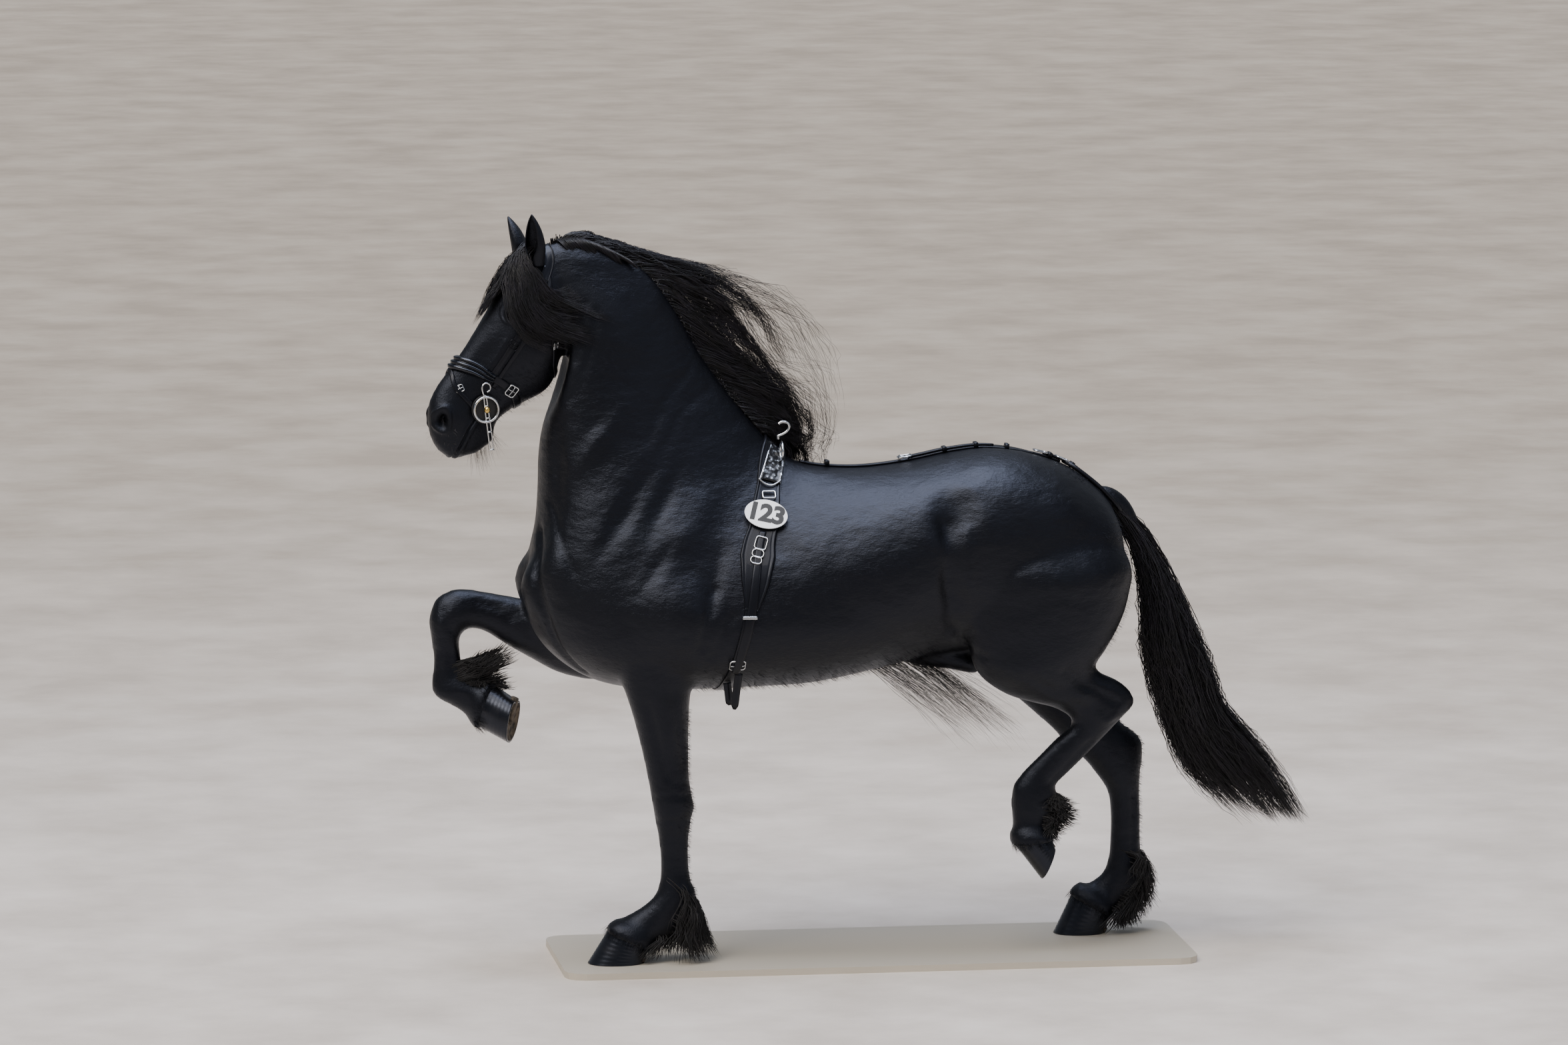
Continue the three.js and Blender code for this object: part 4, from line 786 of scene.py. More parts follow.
# %% [markdown]
# ### Veins and folds
# Veins stand out over the cheeks, and folds mark where the legs and the shoulders move. Each is a line
# that is laid on the skin and lifts or sinks it, with a width and a height in millimetres.

# %% Veins and folds
def traced(line, side, frame_of=from_horse):
    """The places on the skin of a line that is seen from one side."""
    return np.array([on_side(x, z, side, frame_of) for x, z in line])


def vein(points, out, path, width, height):
    """Lifts the skin along a path that lies on it."""
    path = along(path, np.linspace(0, 1, 40))
    near = np.full(len(points), 9.0)
    for a, b in zip(path[:-1], path[1:]):
        step = b - a
        t = np.clip(((points - a) @ step) / (step @ step), 0, 1)
        near = np.minimum(near, np.linalg.norm(points - a - t[:, None] * step, axis=1))
    return points + out * (height * MM * bell(near, width * MM))[:, None]


FACE_VEINS = [[(395, -60), (400, -95), (380, -130), (352, -160)], [(300, -45), (360, -52), (430, -58)]]
# Each fold is its line on the skin, its width and its height; both sides of the trunk have the same.
TRUNK_FOLDS = [
    ([(-905, 1800), (-890, 1880), (-880, 1960)], 15, -2.56),
    ([(-885, 1770), (-862, 1850), (-845, 1940)], 15, -2.56),
    ([(-700, 1560), (-640, 1680), (-560, 1760)], 15, -2.56),
    ([(-660, 1520), (-590, 1640), (-500, 1700)], 15, -2.56),
    ([(-1015, 1290), (-1030, 1130), (-975, 965), (-890, 868)], 15, -11.2),
    ([(-985, 1380), (-960, 1260), (-930, 1180)], 14, -4.8),
    ([(-560, 960), (-548, 1040), (-520, 1130)], 16, -8),
    ([(-528, 930), (-500, 1000), (-470, 1060)], 13, -4.8),
    ([(165, 1310), (172, 1150), (190, 985)], 24, -9.6),
    ([(228, 1290), (238, 1150), (262, 1000)], 20, 8),
    ([(205, 1000), (240, 945), (290, 905)], 12, -8),
    ([(-330, 1250), (-120, 1080), (60, 960)], 40, -4),
]
# The same for the legs, each seen from the side that is given.
LEG_FOLDS = [
    (-1, [(-612, 420), (-612, 310), (-606, 245)], 9, -4.9),
    (-1, [(-712, 780), (-682, 670), (-655, 560)], 12, -4.9),
    (-1, [(-640, 820), (-620, 700), (-600, 600)], 12, -4.2),
    (-1, [(-690, 500), (-640, 506), (-585, 500)], 9, -3.5),
    (-1, [(-682, 432), (-640, 428), (-585, 436)], 9, -3.5),
    (-1, [(-1285, 1030), (-1268, 985), (-1250, 960)], 9, -4.2),
    (-1, [(-1268, 925), (-1262, 870), (-1255, 830)], 8, -4.2),
    (-1, [(-1180, 1050), (-1120, 1030), (-1085, 1000)], 12, -4.2),
    (-1, [(530, 860), (620, 800), (700, 755)], 12, -7),
    (-1, [(420, 850), (520, 790), (600, 740)], 14, -4.2),
    (-1, [(622, 640), (560, 575), (505, 520)], 9, -4.9),
    (-1, [(640, 720), (665, 700), (690, 715)], 10, 5.6),
    (-1, [(803, 420), (805, 310), (800, 245)], 9, -4.9),
    (1, [(803, 420), (805, 310), (800, 245)], 9, -4.9),
    (1, [(560, 740), (640, 690), (740, 640)], 12, -7),
    (1, [(-1262, 925), (-1258, 870), (-1255, 830)], 8, -4.2),
]
body_points = points_of(skin)
body_out = normals_of(skin)
for line in FACE_VEINS:
    for side in (-1, 1):
        body_points = vein(body_points, body_out, traced(line, side, from_head), 4, 2.0)
for line, width, height in TRUNK_FOLDS:
    for side in (-1, 1):
        body_points = vein(body_points, body_out, traced(line, side), width, height)
for side, line, width, height in LEG_FOLDS:
    body_points = vein(body_points, body_out, traced(line, side), width, height)
set_points(skin, body_points)
skin_tree = surface(skin)
print("veins and folds done")

# %% [markdown]
# ## Materials
# Each finish is a Principled shader fed by noise in the object's own coordinates. A horse's coat is
# thousands of fine flat hairs: at this distance they read as a sheen that runs in streaks along the
# body, so the bump is noise that is stretched along the lie of the coat. An image could hold the same
# streaks, but noise stays sharp at any distance and needs no unwrap.


# %% Colours and nodes
def linear(hexed):
    """An sRGB hex colour as linear numbers with alpha."""
    parts = [int(hexed[i:i + 2], 16) / 255 for i in (1, 3, 5)]
    return tuple(c / 12.92 if c <= 0.04045 else ((c + 0.055) / 1.055) ** 2.4 for c in parts) + (1.0,)


def plain_material(name, **sockets):
    """A Principled material with its constants set on the sockets."""
    material = bpy.data.materials.new(name)
    material.use_nodes = True
    shader = material.node_tree.nodes["Principled BSDF"]
    for key, value in sockets.items():
        shader.inputs[key.replace("_", " ")].default_value = value
    return material


def add_node(material, kind, settings=(), links=(), stops=(), into=None):
    """A node with its settings, its links as (from socket, to input), a ramp's stops as (place,
    colour), and the shader's input that it feeds."""
    node = material.node_tree.nodes.new("ShaderNode" + kind)
    for key, value in dict(settings).items():
        if key in node.inputs:
            node.inputs[key].default_value = value
        else:
            setattr(node, key, value)
    for socket, name in links:
        material.node_tree.links.new(socket, node.inputs[name])
    for (at, colour), stop in zip(stops, node.color_ramp.elements if stops else ()):
        stop.position = at
        stop.color = linear(colour)
    if into:
        output = next(socket for socket in node.outputs if socket.enabled)
        material.node_tree.links.new(output, material.node_tree.nodes["Principled BSDF"].inputs[into])
    return node


def patterned_material(name, **sockets):
    """A Principled material and the socket with the place on the object, which its patterns read."""
    material = plain_material(name, **sockets)
    return material, add_node(material, "TexCoord").outputs["Object"]


def scale_of(*sizes):
    """A pattern's repeats in a metre, from real sizes in millimetres."""
    scales = tuple(1 / (size * MM) for size in sizes)
    return scales if len(scales) > 1 else scales[0]


print("colours and nodes ready")

# %% Coat
# The sky gives black hair a bluish gleam, and it stays a dim one.
GLEAM = (0.3, 0.33, 0.42, 1.0)
MULTIPLY = {"data_type": "RGBA", "blend_type": "MULTIPLY", "Factor": 1.0}


def make_coat(name, streak, gloss, colours, muscle_bump):
    """Short glossy hair: fine streaks along its lie over the soft ripple of the muscles."""
    material, place_of = patterned_material(
        name, Roughness=gloss, IOR=1.5, Sheen_Weight=0.01, Sheen_Roughness=0.4, Sheen_Tint=linear("#8f9cc0"),
        Specular_IOR_Level=0.72, Specular_Tint=GLEAM)
    laid_back = add_node(material, "Mapping", {"Scale": streak}, [(place_of, "Vector")])
    hairs = add_node(material, "TexNoise", {"Scale": 1.0, "Detail": 4.0, "Roughness": 0.6},
                     [(laid_back.outputs["Vector"], "Vector")])
    patches = add_node(material, "TexNoise", {"Scale": 3.2, "Detail": 3.0}, [(place_of, "Vector")])
    tint = add_node(material, "ValToRGB", (), [(patches.outputs["Fac"], "Fac")],
                    [(0.35, colours[0]), (0.75, colours[1])])
    dark = add_node(material, "ValToRGB", (), [(hairs.outputs["Fac"], "Fac")],
                    [(0.3, "#5a5a5a"), (0.7, "#ffffff")])
    add_node(material, "Mix", MULTIPLY,
             [(tint.outputs["Color"], "A"), (dark.outputs["Color"], "B")], into="Base Color")
    fine = add_node(material, "Bump", {"Strength": 0.5, "Distance": 0.002},
                    [(hairs.outputs["Fac"], "Height")])
    lie = add_node(material, "Mapping", {"Scale": scale_of(125, 125, 71.4), "Rotation": (0, 0.9, 0)},
                   [(place_of, "Vector")])
    ripple = add_node(material, "TexNoise", {"Scale": 1.0, "Detail": 5.0, "Roughness": 0.55},
                      [(lie.outputs["Vector"], "Vector")])
    add_node(material, "Bump", {"Strength": muscle_bump, "Distance": 0.014},
             [(ripple.outputs["Fac"], "Height"), (fine.outputs["Normal"], "Normal")], into="Normal")
    return material


# The body's hairs lie back and the legs' hairs lie down. A real hair is 0.05 mm wide and too fine to
# show, so the streaks are about 2 mm wide. The head's coat is the shortest and the smoothest.
NEAR_BLACK = ("#020203", "#060507")
BODY_COAT = make_coat("short_body_coat", scale_of(16.7, 2.4, 2.4), 0.37, ("#020203", "#060407"), 0.6)
LEG_COAT = make_coat("short_leg_coat", scale_of(2.4, 2.4, 16.7), 0.4, NEAR_BLACK, 0.4)
HEAD_COAT = make_coat("short_head_coat", scale_of(3.3, 2, 8.3), 0.42, NEAR_BLACK, 0.25)
print("coats ready")

# %% Coat on the skin
LEG_TOP = 0.87
for finish in (BODY_COAT, LEG_COAT, HEAD_COAT):
    skin.data.materials.append(finish)
centres = np.array([tuple(face.center) for face in skin.data.polygons])
down_face, across, out_of_face = to_head(centres).T
on_head = (down_face > 25) & (out_of_face > -300) & (np.abs(across) < 160)
choice = np.where(on_head, 2, np.where(centres[:, 2] < LEG_TOP, 1, 0)).astype(np.int32)
skin.data.polygons.foreach_set("material_index", choice)
FLESH = [name for name in nodes if name.startswith(("forearm_", "gaskin_", "cannon_", "foot_"))]
fit(skin, "coat", "torso", "neck", "head", *FLESH)
print("skin replaces", len(FLESH) + 3, "solids")

# %% [markdown]
# ## Long hair
# The mane, forelock, tail and leg feather are the marks of the breed. Particle hair would be lost when
# the model is exported, so every strand is a thin closed blade with three sides that tapers to a point.
# Strands are drawn together into wavy locks, because washed horse hair clumps and crimps.
# Each strand's bake map is a small patch at its root's place on an unwrap of the skin it grows from.

# %% Finishes of long hair
def make_hair(name, colours, gloss):
    """Long hair: each strand already is a shape, so the shader only varies it along its length."""
    material, place_of = patterned_material(name, Roughness=gloss, IOR=1.55, Specular_IOR_Level=0.3,
                                            Anisotropic=0.5, Sheen_Weight=0.03)
    noise = add_node(material, "TexNoise", {"Scale": scale_of(36), "Detail": 2.0}, [(place_of, "Vector")])
    add_node(material, "ValToRGB", (), [(noise.outputs["Fac"], "Fac")],
             [(0.35, colours[0]), (0.7, colours[1])], into="Base Color")
    return material


# Mane and tail are washed and shine; the feather is dusty and duller; whiskers are stiff and grey.
LONG_HAIR = make_hair("long_black_hair", ("#050507", "#15121a"), 0.36)
FEATHER_HAIR = make_hair("leg_feather_hair", ("#09090a", "#151215"), 0.5)
WHISKER = make_hair("grey_whisker_hair", ("#2b2827", "#575250"), 0.5)
print("hair finishes ready")

# %% Strand maker
PATCH = 0.003


def taper(count, steps, root, tip):
    """Widths from root to tip, widest a third of the way along."""
    u = np.linspace(0, 1, steps)
    shape = tip + (root - tip) * (1 - u) ** 0.8 * (0.75 + 0.6 * u)
    return shape[None] * rng.uniform(0.75, 1.25, (count, 1))


def strands(name, centre, widths, facing, root_map, material=LONG_HAIR):
    """Closed blades along `centre`, shaped (strands, rings, 3); widths are millimetres, root and tip."""
    count, steps = centre.shape[:2]
    width = taper(count, steps, *widths) * MM
    tangent = unit(np.gradient(centre, axis=1))
    side = unit(np.cross(tangent, facing))
    up = np.cross(side, tangent)
    half = width[..., None] / 2
    body = np.stack([centre + side * half, centre - side * half, centre + up * half * 0.8], 2)[:, :-1]
    points = np.concatenate([body.reshape(count, -1, 3), centre[:, -1:]], 1)
    each = points.shape[1]
    i, k = np.meshgrid(np.arange(steps - 2), np.arange(3), indexing="ij")
    a, b = i * 3 + k, i * 3 + (k + 1) % 3
    walls = np.concatenate([np.stack([a, a + 3, b + 3], -1), np.stack([a, b + 3, b], -1)]).reshape(-1, 3)
    last = (steps - 2) * 3
    caps = [[0, 1, 2]] + [[last + k, each - 1, last + (k + 1) % 3] for k in range(3)]
    one = np.vstack([walls, caps])
    faces = (one[None] + np.arange(count)[:, None, None] * each).reshape(-1, 3)
    thing = mesh_of(name, points.reshape(-1, 3), faces)
    ring_no = np.append(np.repeat(np.arange(steps - 1), 3), steps - 1) / steps
    side_no = np.append(np.tile([0.0, 0.5, 1.0], steps - 1), 0.5)
    patch = np.stack([ring_no, side_no], -1) * PATCH
    spots = (np.clip(root_map, 0.002, 0.995)[:, None] + patch[None]).reshape(-1, 2)
    layer = thing.data.uv_layers.new(name="OFBake")
    layer.data.foreach_set("uv", spots[faces.ravel()].astype(np.float32).ravel())
    thing.data.materials.append(material)
    print(name, count, "strands", len(faces), "triangles")
    return fit(thing, "hair")


def nearest(points):
    """The skin's nearest points and the directions it faces there."""
    found = [skin_tree.find_nearest(Vector(p)) for p in points]
    return np.array([f[0] for f in found]), np.array([f[1] for f in found])


def wave(centre, across, size, length, phase):
    """Moves strands from side to side, more towards the tip."""
    run = np.concatenate([[0], np.cumsum(np.linalg.norm(np.diff(centre.mean(0), axis=0), axis=1))])
    u = run / run[-1]
    swing = np.sin(run[None] / length * 2 * math.pi + phase[:, None]) * size[:, None] * ramp(u, 0.04, 0.35)
    return centre + across[:, None] * swing[..., None]


print("strand maker ready")

# %% [markdown]
# ### Tail
# The tail is carried clear of the quarters and streams back. Its hair grows from the dock and fills
# the space between a front and a back line, fuller in the middle, ragged at the end.

# %% Shape of the tail
TAIL_FRONT = [(728, 1345), (752, 1240), (778, 1140), (800, 1024), (812, 873), (850, 721), (885, 619),
              (929, 517), (1016, 414), (1105, 342)]
TAIL_BACK = [(691, 1368), (769, 1328), (840, 1240), (921, 1073), (975, 940), (1020, 830), (1062, 716),
             (1155, 614), (1230, 520), (1337, 347)]
TAIL_SPREAD = [26, 40, 56, 70, 82, 90, 92, 88, 76, 50]
DOCK = [(655, 1352, 30), (700, 1346, 32), (742, 1318, 27), (775, 1262, 22), (796, 1190, 18), (812, 1110, 10)]


def in_tail(t, s, y):
    """A place in the tail: t down it, s from its front to its back and y across, both -1 to 1."""
    front, back = along(TAIL_FRONT, t), along(TAIL_BACK, t)
    mid = front + (back - front) * ((s + 1) / 2)[..., None]
    spread = along(np.array(TAIL_SPREAD)[:, None], t)[..., 0]
    return np.stack([mid[..., 0], y * spread, mid[..., 1]], -1)


print("tail", len(TAIL_SPREAD), "places long")


# %% Hair of the tail
def tail_strands(name, count, locks, loose, steps=19):
    """Locks that start on the dock and fill the tail; `loose` is how far strands leave their lock."""
    lock_no = rng.integers(0, locks, count)
    turn, reach = rng.uniform(0, 2 * math.pi, locks), np.sqrt(rng.uniform(0.02, 0.92, locks))
    start = rng.uniform(0.0, 0.3, locks)
    end = np.clip(rng.uniform(0.72, 1.0, locks) + 0.06 * np.cos(turn), 0.6, 1.0)
    u = np.linspace(0, 1, steps)[None]
    own = rng.normal(0, loose, (count, 2, 1)) * (1.15 - 0.5 * ramp(u, 0.1, 0.8))[:, None]
    spread = 0.35 + 0.65 * ramp(u, 0.0, 0.45)
    s = (np.cos(turn) * reach)[lock_no][:, None] * spread + own[:, 0]
    y = (np.sin(turn) * reach)[lock_no][:, None] * spread + own[:, 1]
    ends = (end[lock_no] + rng.normal(0, 0.03, count))[:, None]
    t = start[lock_no][:, None] * (1 - u) + np.clip(ends, 0, 1.0) * u
    body = in_tail(t, np.clip(s, -1.25, 1.2), np.clip(y, -1.1, 1.1))
    root_at = start[lock_no] / 0.3
    root = along(DOCK, root_at)
    turns = turn[lock_no] + rng.normal(0, 0.5, count)
    first = np.stack([root[:, 0] + root[:, 2] * 0.8 * np.cos(turns), root[:, 2] * 0.85 * np.sin(turns),
                      root[:, 1]], -1)
    hold = ramp(u, 0.0, 0.22)[..., None]
    centre = first[:, None] * (1 - hold) + body * hold
    phase = rng.uniform(0, 6.28, locks)[lock_no] + rng.normal(0, 0.35, count)
    across = unit(rng.normal(0, 1, (locks, 3)))[lock_no]
    size = rng.uniform(7, 18, locks)[lock_no] * rng.uniform(0.7, 1.2, count)
    centre = wave(centre, across, size, 100, phase)
    facing = np.stack([np.cos(turns), np.sin(turns), 0.2 + 0 * turns], -1)[:, None]
    spots = np.stack([(turns % (2 * math.pi)) / (2 * math.pi), root_at], -1)
    return strands(name, from_horse(centre), (3.8, 0.8), facing, spots)


tail_strands("tail_hair_inner", 1200, 50, 0.1)
tail_strands("tail_hair_outer", 1350, 80, 0.1)
tail_strands("tail_hair_loose", 1250, 400, 0.17)


# %% Dock
def dock_grid(sides, steps):
    """Rings round the tail's root, which tapers to its end."""
    cut = along(DOCK, np.linspace(0, 1, steps))
    turn = circle(sides)
    run = unit(np.gradient(cut[:, :2], axis=0))
    across = np.stack([-run[:, 1], run[:, 0]], -1)[:, None] * (cut[:, 2:3] * np.sin(turn))[..., None]
    return np.stack([cut[:, None, 0] + across[..., 0], cut[:, 2:3] * np.cos(turn) + 0 * across[..., 0],
                     cut[:, None, 1] + across[..., 1]], -1)


dock = closed_tube("dock", from_horse(dock_grid(24, 20)))
dock.data.materials.append(BODY_COAT)
fit(dock, "coat", "tail")
print("dock", len(dock.data.polygons), "faces")

# %% [markdown]
# ### Mane
# The mane lies on the far side. The wind of the trot lifts its upper part off the crest, so from the
# near side it shows behind the neck, dense at the crest and thin at the edge.

# %% Blown mane
CREST = [(-955, 2148), (-875, 2150), (-753, 2095), (-652, 2018), (-592, 1914), (-509, 1771), (-400, 1650),
         (-335, 1575)]
MANE_EDGE = [(-880, 2160), (-735, 2096), (-600, 2072), (-480, 2020), (-370, 1925), (-290, 1790),
             (-225, 1680), (-185, 1560)]


def blown_mane(name, count, locks, far, flows, width, steps=15):
    """Strands that leave the crest, stream back and then fall; `far` is how far past the edge they go."""
    lock_no = rng.integers(0, locks, count)
    root_q = np.sort(rng.uniform(0.02, 1.0, locks))
    q = np.clip(root_q[lock_no] + rng.normal(0, 0.01, count), 0, 1)
    u = np.linspace(0, 1, steps)[None]
    reach = rng.beta(2.0, 1.5, locks)[lock_no] + rng.normal(0, 0.035, count)
    reach = far * np.clip(reach, 0.05, 1.1)[:, None]
    flow = (rng.uniform(*flows, locks)[lock_no] + rng.normal(0, 0.02, count))[:, None]
    ahead = q[:, None] + flow * u**1.25
    crest, edge = along(CREST, np.clip(ahead, 0, 1)), along(MANE_EDGE, np.clip(ahead, 0, 1))
    out = reach * ramp(u, 0.0, 0.7) * (1 - 0.25 * ramp(ahead, 0.85, 1.3))
    past = np.clip(ahead - 1, 0, 0.4)
    arch = 16 * np.sin(math.pi * np.clip(u * 1.6, 0, 1))
    x = crest[..., 0] + (edge[..., 0] - crest[..., 0]) * out + past * 60
    z = crest[..., 1] + (edge[..., 1] - crest[..., 1]) * out + arch * (1 - q[:, None]) - past * 330
    spread = (rng.uniform(-6, 26, locks)[lock_no] + rng.normal(0, 4, count))[:, None]
    y = spread * 0.5 + (20 + 80 * rng.random(locks)[lock_no][:, None]) * ramp(u, 0.05, 0.9)
    centre = np.stack([x - 8 * (1 - ramp(u, 0, 0.2)), y, z - 16 * (1 - ramp(u, 0, 0.2))], -1)
    phase = rng.uniform(0, 6.28, locks)[lock_no] + rng.normal(0, 0.3, count)
    across = unit(rng.normal(0, 0.6, (locks, 3)) + [0.6, 0, 0.7])[lock_no]
    size = rng.uniform(5, 15, locks)[lock_no] * rng.uniform(0.7, 1.2, count)
    centre = wave(centre, across, size, 95, phase)
    facing = [0.5, -0.5, 0.7]
    spots = np.stack([q, 0.5 + spread[:, 0] / 80], -1)
    return strands(name, from_horse(centre), (width, 0.6), facing, spots)


blown_mane("mane_blown_inner", 1640, 70, 0.85, (0.25, 0.5), 3.2)
blown_mane("mane_blown_outer", 1500, 110, 1.2, (0.3, 0.65), 2.4)
blown_mane("mane_loose_strands", 500, 230, 1.75, (0.2, 0.75), 1.3)

# %% Hanging mane
# How far from the middle of the horse it may stand, in millimetres.
WIDEST_MANE = 322.0


def right_side(x, z):
    """How far right the skin is at each place, in millimetres, or 10 past its outline."""
    out = np.empty(x.shape)
    for index in np.ndindex(x.shape):
        hit = on_side(x[index], z[index], 1)
        out[index] = 10 if hit is None else hit[1] / MM
    return out


def hanging_mane(name, count, locks, steps=13):
    """Strands that fall from the crest and lie on the far side of the neck."""
    lock_no = rng.integers(0, locks, count)
    root_q = np.sort(rng.uniform(0.0, 1.0, locks))
    u = np.linspace(0, 1, steps)
    crest = along(CREST, root_q)
    long = 300 + 100 * np.sin(math.pi * root_q) - 90 * root_q**3 + rng.uniform(-30, 40, locks)
    back = (0.42 + 0.2 * root_q + rng.normal(0, 0.05, locks)) * long
    x = crest[:, 0, None] + back[:, None] * u**1.3
    z = crest[:, 1, None] - 6 - long[:, None] * u
    y = right_side(x, z) + 4 + 8 * ramp(u, 0.1, 1)[None] + rng.uniform(0, 6, locks)[:, None]
    y = np.minimum(y, WIDEST_MANE)
    y[:, 0] = 4
    y[:, 1] = np.maximum(y[:, 1] * 0.9, 22)
    guide = np.stack([x, y, z], -1)[lock_no]
    off = rng.normal(0, 1, (count, 1, 3)) * np.array([8, 4, 6]) * (1.1 - 0.5 * u)[None, :, None]
    ends = 1 + rng.normal(0, 0.06, count)[:, None, None] * (u**2)[None, :, None]
    centre = guide[:, :1] + (guide + off - guide[:, :1]) * ends
    phase = rng.uniform(0, 6.28, locks)[lock_no] + rng.normal(0, 0.4, count)
    across = np.tile([0.95, 0.2, 0.2], (count, 1))
    size = rng.uniform(3, 11, locks)[lock_no] * rng.uniform(0.7, 1.2, count)
    centre = wave(centre, across, size, 105, phase)
    facing = [0, 1, 0.3]
    spots = np.stack([root_q[lock_no], 0.5 + off[:, 0, 1] / 60], -1)
    return strands(name, from_horse(centre), (3.2, 0.8), facing, spots)


hanging_mane("mane_far_side", 1400, 60)
hanging_mane("mane_far_side_over", 900, 40)


# %% Mane at the poll
def poll_roll(name, count, steps=7):
    """The short wavy hair that falls to the near side just behind the ears."""
    q = rng.uniform(0.0, 0.3, count)
    u = np.linspace(0, 1, steps)[None]
    crest = along(CREST, q)
    rolls = (46 + 16 * np.sin(q * 70)) * (1 - 0.5 * ramp(q, 0.2, 0.3))
    long = rolls[:, None] * rng.uniform(0.8, 1.15, (count, 1))
    x = crest[:, 0, None] + long * (0.55 * u + 0.4 * u**2)
    z = crest[:, 1, None] - 2 - long * (0.25 * u + 0.75 * u**2)
    y = -(3 + 24 * u + 12 * np.sin(math.pi * u)) + rng.normal(0, 2.5, (count, 1))
    centre = np.stack([x, y, z], -1)
    facing = [0, -0.8, 0.6]
    spots = np.stack([q / 0.32, rng.uniform(0.3, 0.7, count)], -1)
    return strands(name, from_horse(centre), (2.2, 0.7), facing, spots)


poll_roll("mane_near_roll", 900)

# %% [markdown]
# ### Forelock
# It falls between the ears, some down the face and some swept back over the near eye and cheek.

# %% Forelock
SWEEP_LINES = [
    [(12, -10, 14), (58, -44, 36), (92, -84, -20), (108, -104, -96), (104, -112, -190), (92, -118, -330)],
    [(14, -12, 14), (60, -44, 34), (100, -86, -30), (140, -104, -96), (136, -112, -168), (104, -104, -270)],
    [(18, -16, 16), (74, -46, 40), (140, -86, 2), (196, -112, -60), (196, -116, -132), (166, -112, -230)],
    [(22, -20, 16), (90, -40, 46), (170, -62, 32), (236, -98, -16), (266, -110, -72), (250, -106, -150)],
]
FACE_LINES = [
    [(6, -10, 4), (80, -22, 38), (160, -30, 46), (230, -30, 44), (300, -22, 44)],
    [(6, 0, 6), (80, -4, 40), (150, -8, 46), (210, -8, 44), (262, -4, 42)],
    [(6, 12, 4), (70, 22, 38), (130, 34, 44), (185, 44, 38), (232, 52, 26)],
]


def outside_head(points, lift):
    """Pushes head-frame points out to at least `lift` off the skin."""
    flat = from_head(points.reshape(-1, 3))
    lift = np.broadcast_to(lift, points.shape[:-1]).ravel()
    for i, p in enumerate(flat):
        near, normal = (np.array(found) for found in skin_tree.find_nearest(Vector(p))[:2])
        if (p - near) @ normal < lift[i] * MM:
            flat[i] = near + normal * lift[i] * MM
    return to_head(flat).reshape(points.shape)


def forelock(name, lines, count, spread, locks=44, steps=12):
    """Locks that follow a mix of two of the lines, kept off the skin, some short and some long."""
    u = np.linspace(0, 1, steps)
    lock_no = rng.integers(0, locks, count)
    pick = (len(lines) - 1) * rng.beta(1.6, 1.1, locks)
    low = np.minimum(pick.astype(int), len(lines) - 2)
    share = (pick - low)[:, None, None]
    drawn = np.stack([along(line, u) for line in lines])
    guide = drawn[low] * (1 - share) + drawn[low + 1] * share
    guide = outside_head(guide, np.linspace(3, 14, steps)[None])[lock_no]
    off = rng.normal(0, 1, (count, 1, 3)) * np.array(spread) * (1.15 - 0.55 * u)[None, :, None]
    lock_end = rng.uniform(0.5, 1.08, locks)[lock_no][:, None, None]
    stretch = 1 + (lock_end - 1 + rng.normal(0.0, 0.05, (count, 1, 1))) * (u**2)[None, :, None]
    centre = guide[:, :1] + (guide + off - guide[:, :1]) * stretch
    size = rng.uniform(3, 12, locks)[lock_no] * rng.uniform(0.6, 1.2, count)
    ways = unit(rng.normal(0, 0.7, (locks, 3)) + [0.6, 0.2, 0.5])[lock_no]
    centre = wave(centre, ways, size, 85, rng.uniform(0, 6.28, locks)[lock_no])
    facing = centre * [0, 1, 0] + [0, 0, 20.0]
    spots = np.stack([0.5 + off[:, 0, 1] / 60, pick[lock_no] / len(lines)], -1)
    return strands(name, from_head(centre), (2.6, 0.5), facing @ HEAD_AXES.T, spots)


forelock("forelock_swept", SWEEP_LINES, 1300, (6, 5, 7))
forelock("forelock_face", FACE_LINES, 800, (6, 10, 4))

# %% [markdown]
# ### Feather
# Long hair grows from the back and sides of each fetlock and pastern. It falls over the standing hooves
# to the ground and is thrown back from the lifted ones.

# %% Feather
# The lines of the roots and of the tips down the back of each foot. Then how far the hair at the sides
# reaches ahead, at the roots and at the tips, the place across, the width and the shortest strand.
FEATHER = {
    "fore_left": (
        [(-604, 250), (-590, 196), (-612, 130), (-668, 84)],
        [(-545, 84), (-488, 24), (-560, 14), (-690, 14)],
        (-70, -96), -142, 1, 0.7),
    "fore_right": (
        [(-1240, 862), (-1224, 826), (-1196, 806), (-1160, 796)],
        [(-1112, 896), (-1062, 910), (-1068, 850), (-1064, 790)],
        (-36, -44), 140, 0.5, 0.3),
    "hind_left": (
        [(492, 470), (494, 436), (488, 400), (490, 362)],
        [(588, 452), (606, 410), (580, 372), (548, 340)],
        (-46, -60), -140, 0.7, 0.5),
    "hind_right": (
        [(812, 252), (824, 196), (796, 116), (756, 80)],
        [(880, 176), (884, 96), (842, 34), (782, 14)],
        (-66, -84), 140, 1, 0.7),
}
# No strand goes lower than this, in millimetres over the hooves' level.
GROUND = 4.0


